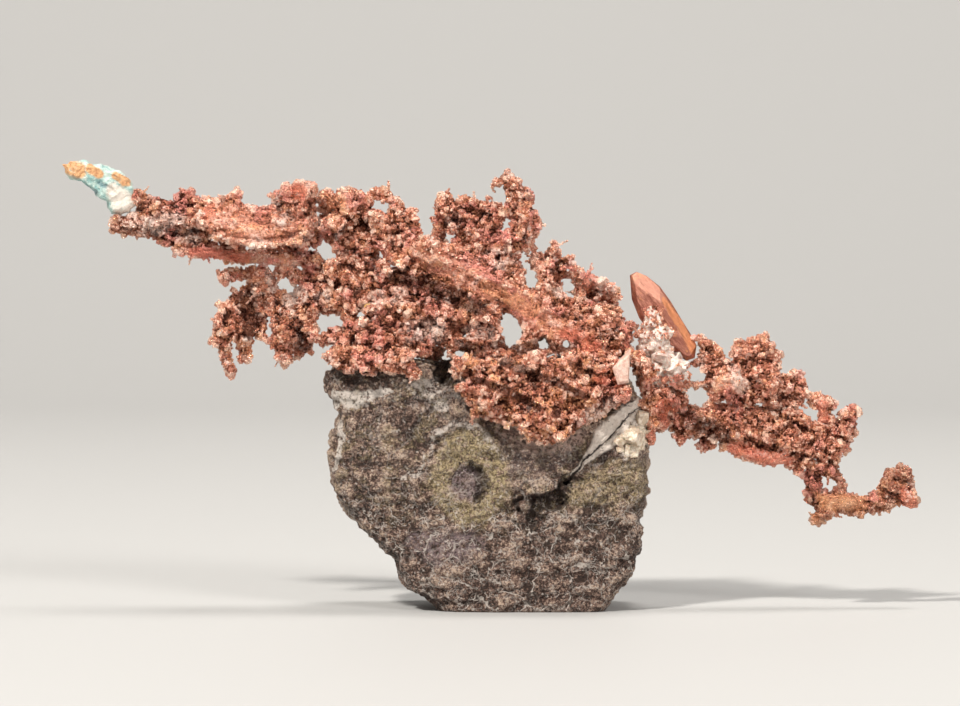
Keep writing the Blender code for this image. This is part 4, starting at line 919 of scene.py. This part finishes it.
# Four tufts stand on the trunk: an arch of loops with coin-shaped crystals, a crown of small prongs, a tall
# tower and a low comb. They are copper, rose pink at their tips.
ARCH_PLATE = [(-22.9, -4.4, 59.0, 1.0), (-22.6, -4.6, 61.2, 1.2), (-23.0, -4.4, 63.0, 0.9)]
ARCH_COIN = [(-24.5, -5.2, 57.9, 1.0), (-24.5, -3.6, 57.9, 1.1)]
ARCH_LEFT = [(-26.4, -2.0, 62.2, 0.8), (-25.6, -2.0, 60.2, 0.8)]
show_branch(
    "arch", "copper_pink", 301, bars=[ARCH_PLATE, ARCH_COIN, ARCH_LEFT],
    bare=[[(-22.9, 59.4, 0.8), (-22.8, 62.2, 0.9)], [(-24.5, 57.9, 0.8)]],
    looks=dict(rose=0.6, glow=[[(-24.4, 60.6, 1.6)]]),
)

CROWN_PRONGS = [
    [(-8.8, -0.8, 61.4, 0.8), (-8.6, -0.8, 58.8, 0.9)],
    [(-6.4, -0.6, 60.8, 0.8), (-3.8, -0.6, 60.2, 1.0), (-0.4, -0.6, 59.3, 0.8)],
    [(-7.6, -0.8, 57.2, 0.9), (-6.2, -0.8, 56.2, 0.8)],
]
show_branch(
    "crown", "copper_pink", 321, bars=CROWN_PRONGS, lumps=SMALL_LUMPS, twig_gap=2.0,
    looks=dict(rose=0.6, white=[[(-7.0, 58.0, 1.2)]]),
)

show_branch("tower", "copper_pink", 341, twig_gap=2.0, looks=dict(rose=0.8))

COMB_PRONGS = [
    [(4.3, -1.0, 52.0, 0.6), (5.8, -1.0, 51.4, 0.7), (8.0, -1.0, 51.6, 0.8)],
    [(8.0, -1.0, 52.8, 0.8), (8.2, -1.0, 55.0, 0.5)], [(10.9, -1.0, 52.2, 0.5), (10.9, -1.0, 50.2, 0.8)],
]
show_branch(
    "comb", "copper_pink", 361, bars=COMB_PRONGS, lumps=SMALL_LUMPS, twig_gap=2.0,
    looks=dict(white=[[(6.4, 46.4, 1.4)]]),
)


# The calcite knot is a lump of milky calcite crystals between the rock's right shoulder and the spear-shaped
# crystal, with a chipped slab of the same at the trunk's end and cream crumbs in the rock's corner.
# Copper grains are caught in the lump's top and foot.
def calcite_finish(piece, cloudy, clear, grey):
    """Milky calcite on a piece: its colours where it is cloudy, clear, and grey from the rock."""
    shader, here = new_finish(piece, piece.name, {"Subsurface Weight": 0.1, "Subsurface Scale": 0.001})
    fine = here.noise(0.6, 4.0, 0.75)
    patch = here.noise(2.2, 4.0, 0.65)
    colour = fine.fade(0.42, 0.58).mix(clear, cloudy)
    colour = (patch.fade(0.50, 0.60) * 0.75).mix(colour, grey)
    connect(shader, Base_Color=colour, Roughness=0.22 + fine * 0.35, bump=fine * 0.25)


CALCITE_VOXEL = 0.26
CALCITE_CLOUDY = (0.90, 0.80, 0.73)
CALCITE_CLEAR = (0.66, 0.48, 0.40)
CALCITE_GREY = (0.38, 0.24, 0.19)
calcite = copy_of_node("calcite_knot", "calcite_lump")
apply_modifier(calcite, "REMESH", mode="VOXEL", voxel_size=CALCITE_VOXEL * MM)
apply_modifier(calcite, "SMOOTH", factor=0.5, iterations=2)
mesh_in, here = shape_graph("calcite relief")
shaped = push_out(mesh_in, (0.95 - here.cells(2.1)) * 1.0 + (here.noise(1.2, 3.0) - 0.5) * 0.6)
blocks = scatter(shaped, crystals, 501, 1.6, (0.8, 2.8), 1.0)
apply_graph(calcite, join_with(shaped, blocks))
caught = twin_of(calcite, "calcite_copper_grains")
mesh_in, here = shape_graph("grains in calcite")
mesh_in = stored(stored(mesh_in, "bulge", 0.6), "rough", 1.0)
ends = here.axes()[2].fade(39.8, 42.2).most(here.axes()[2].fade(35.8, 34.0)) * 0.8 + 0.08
large_grains = scatter(mesh_in, crystals, 521, 0.62, (0.4, 1.0), ends)
apply_graph(caught, join_with(large_grains, scatter(mesh_in, sand_shapes, 541, 0.4, (0.2, 0.5), ends)))
shade_flat(calcite)
shade_flat(caught)
calcite_finish(calcite, CALCITE_CLOUDY, CALCITE_CLEAR, CALCITE_GREY)
stand_for(calcite, "calcite_knot")
copper_finish(caught, rose=0.5)
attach(caught, "root")

SLAB_CORNERS = [(19.2, 38.9), (16.5, 36.3), (17.3, 33.8), (18.9, 34.1)]
SLAB_FRONT = -11.2
SLAB_BACK = -7.0
SLAB_RIM = 0.35
SLAB_RISE = Vector((0.15, -0.3, 0.1))
SLAB_CLOUDY = (0.78, 0.56, 0.47)
SLAB_CLEAR = (0.62, 0.38, 0.30)
SLAB_BROWN = (0.52, 0.31, 0.24)
bpy.ops.mesh.primitive_circle_add(vertices=4, fill_type="NGON")
slab = bpy.context.object
slab.name = "calcite_slab"
for vert, (x, z) in zip(slab.data.vertices, SLAB_CORNERS):
    vert.co = (x * MM, SLAB_BACK * MM, z * MM)
bpy.ops.object.mode_set(mode="EDIT")
bpy.ops.mesh.select_all(action="SELECT")
forwards = (0.0, (SLAB_FRONT - SLAB_BACK) * MM, 0.0)
bpy.ops.mesh.extrude_region_move(TRANSFORM_OT_translate={"value": forwards})
bpy.ops.mesh.inset(thickness=SLAB_RIM * MM)
bpy.ops.transform.translate(value=SLAB_RISE * MM)
bpy.ops.mesh.select_all(action="SELECT")
bpy.ops.mesh.normals_make_consistent(inside=False)
bpy.ops.object.mode_set(mode="OBJECT")
calcite_finish(slab, SLAB_CLOUDY, SLAB_CLEAR, SLAB_BROWN)
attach(slab, "root")

CRUMB_CREAM = (0.82, 0.71, 0.58)
CRUMB_TAN = (0.56, 0.43, 0.31)
CRUMB_BROWN = (0.34, 0.25, 0.17)
crumbs = twin_of(basalt, "cream_crumbs")
mesh_in, here = shape_graph("cream crumbs")
crumb_place = inside(here, [CREAM_LUMPS]) * here.axes()[1].fade(-4.0, -6.0)
apply_graph(crumbs, scatter(mesh_in, crystals, 561, 0.95, (0.8, 2.0), crumb_place))
shade_flat(crumbs)
calcite_finish(crumbs, CRUMB_CREAM, CRUMB_TAN, CRUMB_BROWN)
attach(crumbs, "root")


# The right arm hangs on a twisted knot at the rock's shoulder. A thick rod runs on from it, with a chunky
# block of crystals above, two knobs on stalks, and a ring and hook at its end. The copper is redder here.
show_branch(
    "east_knot", "copper_orange", 401, bare=[[(24.6, 30.0, 1.2), (25.6, 27.4, 1.2)]],
    looks=dict(orange=0.6, red=[[(24.6, 30.4, 1.6), (25.8, 27.4, 1.4)], [(22.6, 25.6, 1.2)]]),
)

BLOCK_LUMPS = [(31.6, -3.2, 33.0, 1.4), (33.8, -3.4, 34.0, 2.0), (36.2, -3.2, 34.6, 1.6)]
BLOCK_PRONGS = [
    [(35.6, -1.6, 40.0, 0.8), (36.0, -1.6, 37.2, 1.0)], [(43.6, -1.6, 33.2, 1.0), (45.2, -1.6, 31.4, 0.8)],
]
show_branch(
    "east_block", "copper_pink", 421, bars=[BLOCK_LUMPS, *BLOCK_PRONGS],
    bare=[[(32.4, 33.4, 1.3), (35.6, 34.4, 1.3)]],
    looks=dict(rose=0.7, white=[[(34.6, 36.0, 0.8), (36.0, 33.4, 1.2)]]),
)

ROD_STREAK = [
    (33.0, -2.8, 24.8, 0.9), (37.0, -2.9, 23.2, 1.3), (41.0, -2.7, 22.5, 1.25), (43.8, -2.4, 22.2, 0.7),
]
ROD_END = [(42.8, -2.0, 21.6, 0.8), (45.8, -2.0, 21.3, 0.9)]
ROD_SLANT = radians(14.0)
show_branch(
    "east_rod", "copper_brown", 441, bars=[ROD_STREAK, ROD_END], slant=ROD_SLANT,
    bare=[[(34.0, 24.4, 0.9), (38.0, 22.9, 1.1), (42.6, 22.3, 1.0)]],
    looks=dict(
        # painted shadow on the left part of the rod
        rose=0.5, red=[[(35.0, 23.8, 1.0), (42.6, 22.2, 1.1)]], dark=[[(28.4, 28.4, 1.2), (33.0, 26.2, 1.4)]],
        slant=ROD_SLANT,
    ),
)

STALK = [(48.4, -1.0, 27.8, 0.9), (48.3, -1.3, 29.6, 0.75), (48.0, -1.3, 31.0, 1.0)]
show_branch(
    "east_mushroom", "copper_brown", 461, bars=[STALK], bare=[[(48.4, 28.0, 0.8), (48.2, 30.2, 0.8)]],
    lumps=SMALL_LUMPS, looks=dict(rose=0.5, red=[[(48.4, 28.0, 0.8), (48.2, 30.2, 0.9)]]),
)

TAIL_ROD = [(48.0, -1.8, 16.2, 1.3), (51.0, -1.9, 15.9, 1.6), (54.2, -1.8, 15.5, 1.3)]
TAIL_FACE = [(60.2, -1.8, 17.4, 0.9), (61.2, -2.0, 16.4, 1.2), (61.6, -1.8, 15.4, 0.7)]
TAIL_TOP = [(57.2, -1.8, 18.4, 0.7), (59.0, -1.8, 20.0, 0.9), (60.3, -1.8, 19.9, 0.8)]
TAIL_FILL = [(58.6, -1.8, 18.0, 0.8), (60.6, -1.8, 17.9, 0.9)]
TAIL_COPPER = (0.47, 0.185, 0.12)
TAIL_BRIGHT = (0.74, 0.46, 0.34)
show_branch(
    "east_tail", "copper_orange", 481, bars=[TAIL_ROD, TAIL_FACE, TAIL_TOP, TAIL_FILL], lumps=SMALL_LUMPS,
    bare=[[(48.6, 16.0, 1.1), (53.8, 15.6, 1.2)], [(60.6, 17.0, 0.8), (61.4, 15.6, 1.0)]],
    looks=dict(
        tint=TAIL_COPPER, bright=TAIL_BRIGHT, orange=0.4, glow=[[(48.6, 16.0, 1.3), (53.8, 15.6, 1.4)]],
        red=[[(60.6, 17.0, 1.0), (61.4, 15.6, 1.2)]],
    ),
)


# The far left end of the spar is one smooth curved crystal, under a thin film of pale blue-green and white.
# The film is a copper mineral on the metal, worn off to orange copper at the very end and along the top.
TIP_COPPER = [
    [(-65.2, 66.4, 1.2), (-63.0, 65.4, 1.2)], [(-61.2, 65.8, 0.7), (-60.0, 65.0, 0.7)],
    [(-57.4, 64.6, 0.6), (-56.0, 63.8, 0.8)],
]
TIP_BLUE = [[(-62.8, 63.4, 0.35), (-60.6, 62.2, 0.4)], [(-59.8, 63.6, 0.3), (-57.8, 62.2, 0.4)]]
TIP_WHITE = [[(-57.6, 62.4, 1.2), (-56.0, 60.2, 2.0)]]
TIP_VOXEL = 0.20
TEAL = (0.24, 0.42, 0.40)
PALE_TEAL = (0.54, 0.68, 0.62)
TEAL_SPECK = (0.74, 0.72, 0.64)
BLUE_GREY = (0.14, 0.24, 0.29)
WHITE_FILM = (0.76, 0.69, 0.61)
WORN_BROWN = (0.55, 0.26, 0.12)
WORN_ORANGE = (0.80, 0.50, 0.26)
tip = copy_of_node("copper_west_tip", "west_tip")
apply_modifier(tip, "REMESH", mode="VOXEL", voxel_size=TIP_VOXEL * MM)
apply_modifier(tip, "SMOOTH", factor=0.5, iterations=3)
mesh_in, here = shape_graph("tip relief")
uneven = (0.40 - here.cells(1.8)) * 0.8 + (here.noise(1.0, 3.0) - 0.5) * 0.6
apply_graph(tip, push_out(mesh_in, uneven - inside(here, TIP_BLUE) * 0.25 - 0.1))
shader, here = new_finish(tip, "coated copper", {})
fine = here.noise(0.5, 4.0, 0.75)
patch = here.noise(1.6, 4.0, 0.7)
worn = inside(here, TIP_COPPER) * patch.fade(0.30, 0.40)
colour = patch.fade(0.38, 0.60).mix(TEAL, PALE_TEAL).painted(
    (fine.fade(0.54, 0.64) * 0.5, TEAL_SPECK),
    (inside(here, TIP_BLUE) * 0.55, BLUE_GREY),
    (inside(here, TIP_WHITE) * patch.fade(0.36, 0.46), WHITE_FILM),
    (worn, fine.fade(0.3, 0.7).mix(WORN_BROWN, WORN_ORANGE)),
)
bump = fine * 0.3 + patch * 0.3
connect(shader, Base_Color=colour, Metallic=worn * 0.5, Roughness=0.42 + fine * 0.3, bump=bump)
stand_for(tip, "copper_west_tip")


# The spear is the one large flat crystal: a copper blade with smooth faces, with a painted orange highlight
# along its right edge. Two slanting facets meet its broad face, one towards the point and one along the right
# side, and each carries a painted highlight.
SPEAR_FRONT = -2.8
SPEAR_BROWN = (0.29, 0.100, 0.072)
SPEAR_PINK = (0.53, 0.225, 0.158)
SPEAR_ORANGE = (0.72, 0.32, 0.12)
POINT_HIGHLIGHT_PINK = (0.72, 0.36, 0.26)
EDGE_HIGHLIGHT_ORANGE = (0.72, 0.28, 0.12)
POINT_FACE = [[(20.4, 49.4, 0.9), (22.4, 48.0, 1.0), (24.0, 46.4, 0.6)]]
RIGHT_EDGE = [[(24.4, 46.2, 0.4), (27.0, 42.2, 0.6), (29.0, 38.6, 0.6)]]


def cut_facet(piece, start, end, lean):
    """Slices a facet off the front of a piece, from a line seen from the front outwards to its right."""
    run = Vector((end[0] - start[0], 0.0, end[1] - start[1])).normalized()
    across = Vector((-run.z, 0.0, run.x))
    if across.z < 0:
        across.negate()
    facing = (across * lean + Vector((0.0, -1.0, 0.0))).normalized()
    place = (start[0] * MM, SPEAR_FRONT * MM, start[1] * MM)
    select_only(piece)
    edit_whole(bpy.ops.mesh.bisect, plane_co=place, plane_no=facing, use_fill=True, clear_outer=True)


spear = copy_of_node("copper_spear_crystal", "spear")
cut_facet(spear, (19.9, 48.4), (24.4, 45.6), 0.40)
cut_facet(spear, (23.6, 46.6), (28.4, 38.6), 0.75)
apply_modifier(spear, "BEVEL", width=0.10 * MM, segments=2, limit_method="ANGLE")
shader, here = new_finish(spear, "spear copper", {})
fine = here.noise(0.5, 4.0, 0.75)
patch = here.noise(1.8, 4.0, 0.7)
lines = along_grain(here, radians(53.0)).noise(0.45, 3.0, 0.6)
colour = (lines * 0.6 + fine * 0.4).fade(0.38, 0.62).mix(SPEAR_BROWN, SPEAR_PINK).painted(
    (patch.fade(0.50, 0.60) * fine.fade(0.4, 0.6) * 0.6, SPEAR_ORANGE),
    # painted highlights: pink on the facet towards the point, orange on the right facet
    (inside(here, POINT_FACE) * 0.5, POINT_HIGHLIGHT_PINK),
    (inside(here, RIGHT_EDGE) * 0.7, EDGE_HIGHLIGHT_ORANGE),
)
bump = fine * 0.14 + lines * 0.18
connect(shader, Base_Color=colour, Metallic=0.75 + fine * 0.1, Roughness=0.30 + fine * 0.2, bump=bump)
stand_for(spear, "copper_spear_crystal")


# The studio: a pale floor that curves up into a backdrop, soft lights and the camera. The shapes that were
# scattered are only patterns for the mesh, so they are removed first.
FLOOR_WIDTH = 2.4
BACKDROP_HEIGHT = 1.6
BACKDROP_CURVE = 0.6
FLOOR_GREY = (0.46, 0.456, 0.448, 1.0)
for shapes in (crystals, twigs, sand_shapes):
    for piece in list(shapes.objects):
        bpy.data.objects.remove(piece)
    bpy.data.collections.remove(shapes)

bpy.ops.mesh.primitive_plane_add(size=FLOOR_WIDTH)
floor = bpy.context.object
floor.name = "floor"
bpy.ops.object.mode_set(mode="EDIT")
bpy.ops.mesh.select_all(action="DESELECT")
bpy.ops.object.mode_set(mode="OBJECT")
for edge in floor.data.edges:
    edge.select = all(floor.data.vertices[i].co.y > 0 for i in edge.vertices)
bpy.ops.object.mode_set(mode="EDIT")
bpy.ops.mesh.extrude_region_move(TRANSFORM_OT_translate={"value": (0.0, 0.0, BACKDROP_HEIGHT)})
bpy.ops.object.mode_set(mode="OBJECT")
for vert in floor.data.vertices:
    vert.select = vert.co.y > 0 and vert.co.z < 0.01
apply_modifier(floor, "BEVEL", width=BACKDROP_CURVE, segments=24, limit_method="ANGLE")
bpy.ops.object.shade_smooth()
shader, here = new_finish(floor, "pale floor", {"Roughness": 0.6, "Base Color": FLOOR_GREY})


def add_light(name, place, target, size, power, colour):
    """A square soft light, in metres and watts, that faces its target."""
    bpy.ops.object.light_add(type="AREA", location=place)
    light = bpy.context.object
    light.name = name
    light.data.size = size
    light.data.energy = power
    light.data.color = colour
    light.rotation_euler = (Vector(target) - Vector(place)).to_track_quat("-Z", "Y").to_euler()


MIDDLE = (-0.003, 0.0, 0.040)
add_light("key light", (-0.70, -0.90, 1.30), MIDDLE, 0.17, 34.0, (1.0, 0.96, 0.90))
add_light("fill light", (0.90, -1.15, 0.85), MIDDLE, 0.45, 14.0, (1.0, 0.97, 0.93))
add_light("top light", (0.20, 0.15, 1.50), MIDDLE, 0.40, 13.0, (1.0, 0.97, 0.93))

scene = bpy.context.scene
scene.world = bpy.data.worlds.new("studio")
scene.world.use_nodes = True
surround = scene.world.node_tree.nodes["Background"]
surround.inputs["Color"].default_value = (0.84, 0.82, 0.80, 1.0)
surround.inputs["Strength"].default_value = 0.26

CAMERA_DISTANCE = 0.600
CAMERA_TILT = radians(2.0)
CAMERA_TARGET = Vector((-0.003, 0.0, 0.0381))
back = Vector((0.0, -cos(CAMERA_TILT), sin(CAMERA_TILT)))
bpy.ops.object.camera_add(location=CAMERA_TARGET + back * CAMERA_DISTANCE)
camera = bpy.context.object
camera.rotation_euler = (-back).to_track_quat("-Z", "Y").to_euler()
camera.data.sensor_width = 36.0
camera.data.lens = 150.0
camera.data.clip_start = 0.01
scene.camera = camera
scene.view_settings.view_transform = "Standard"
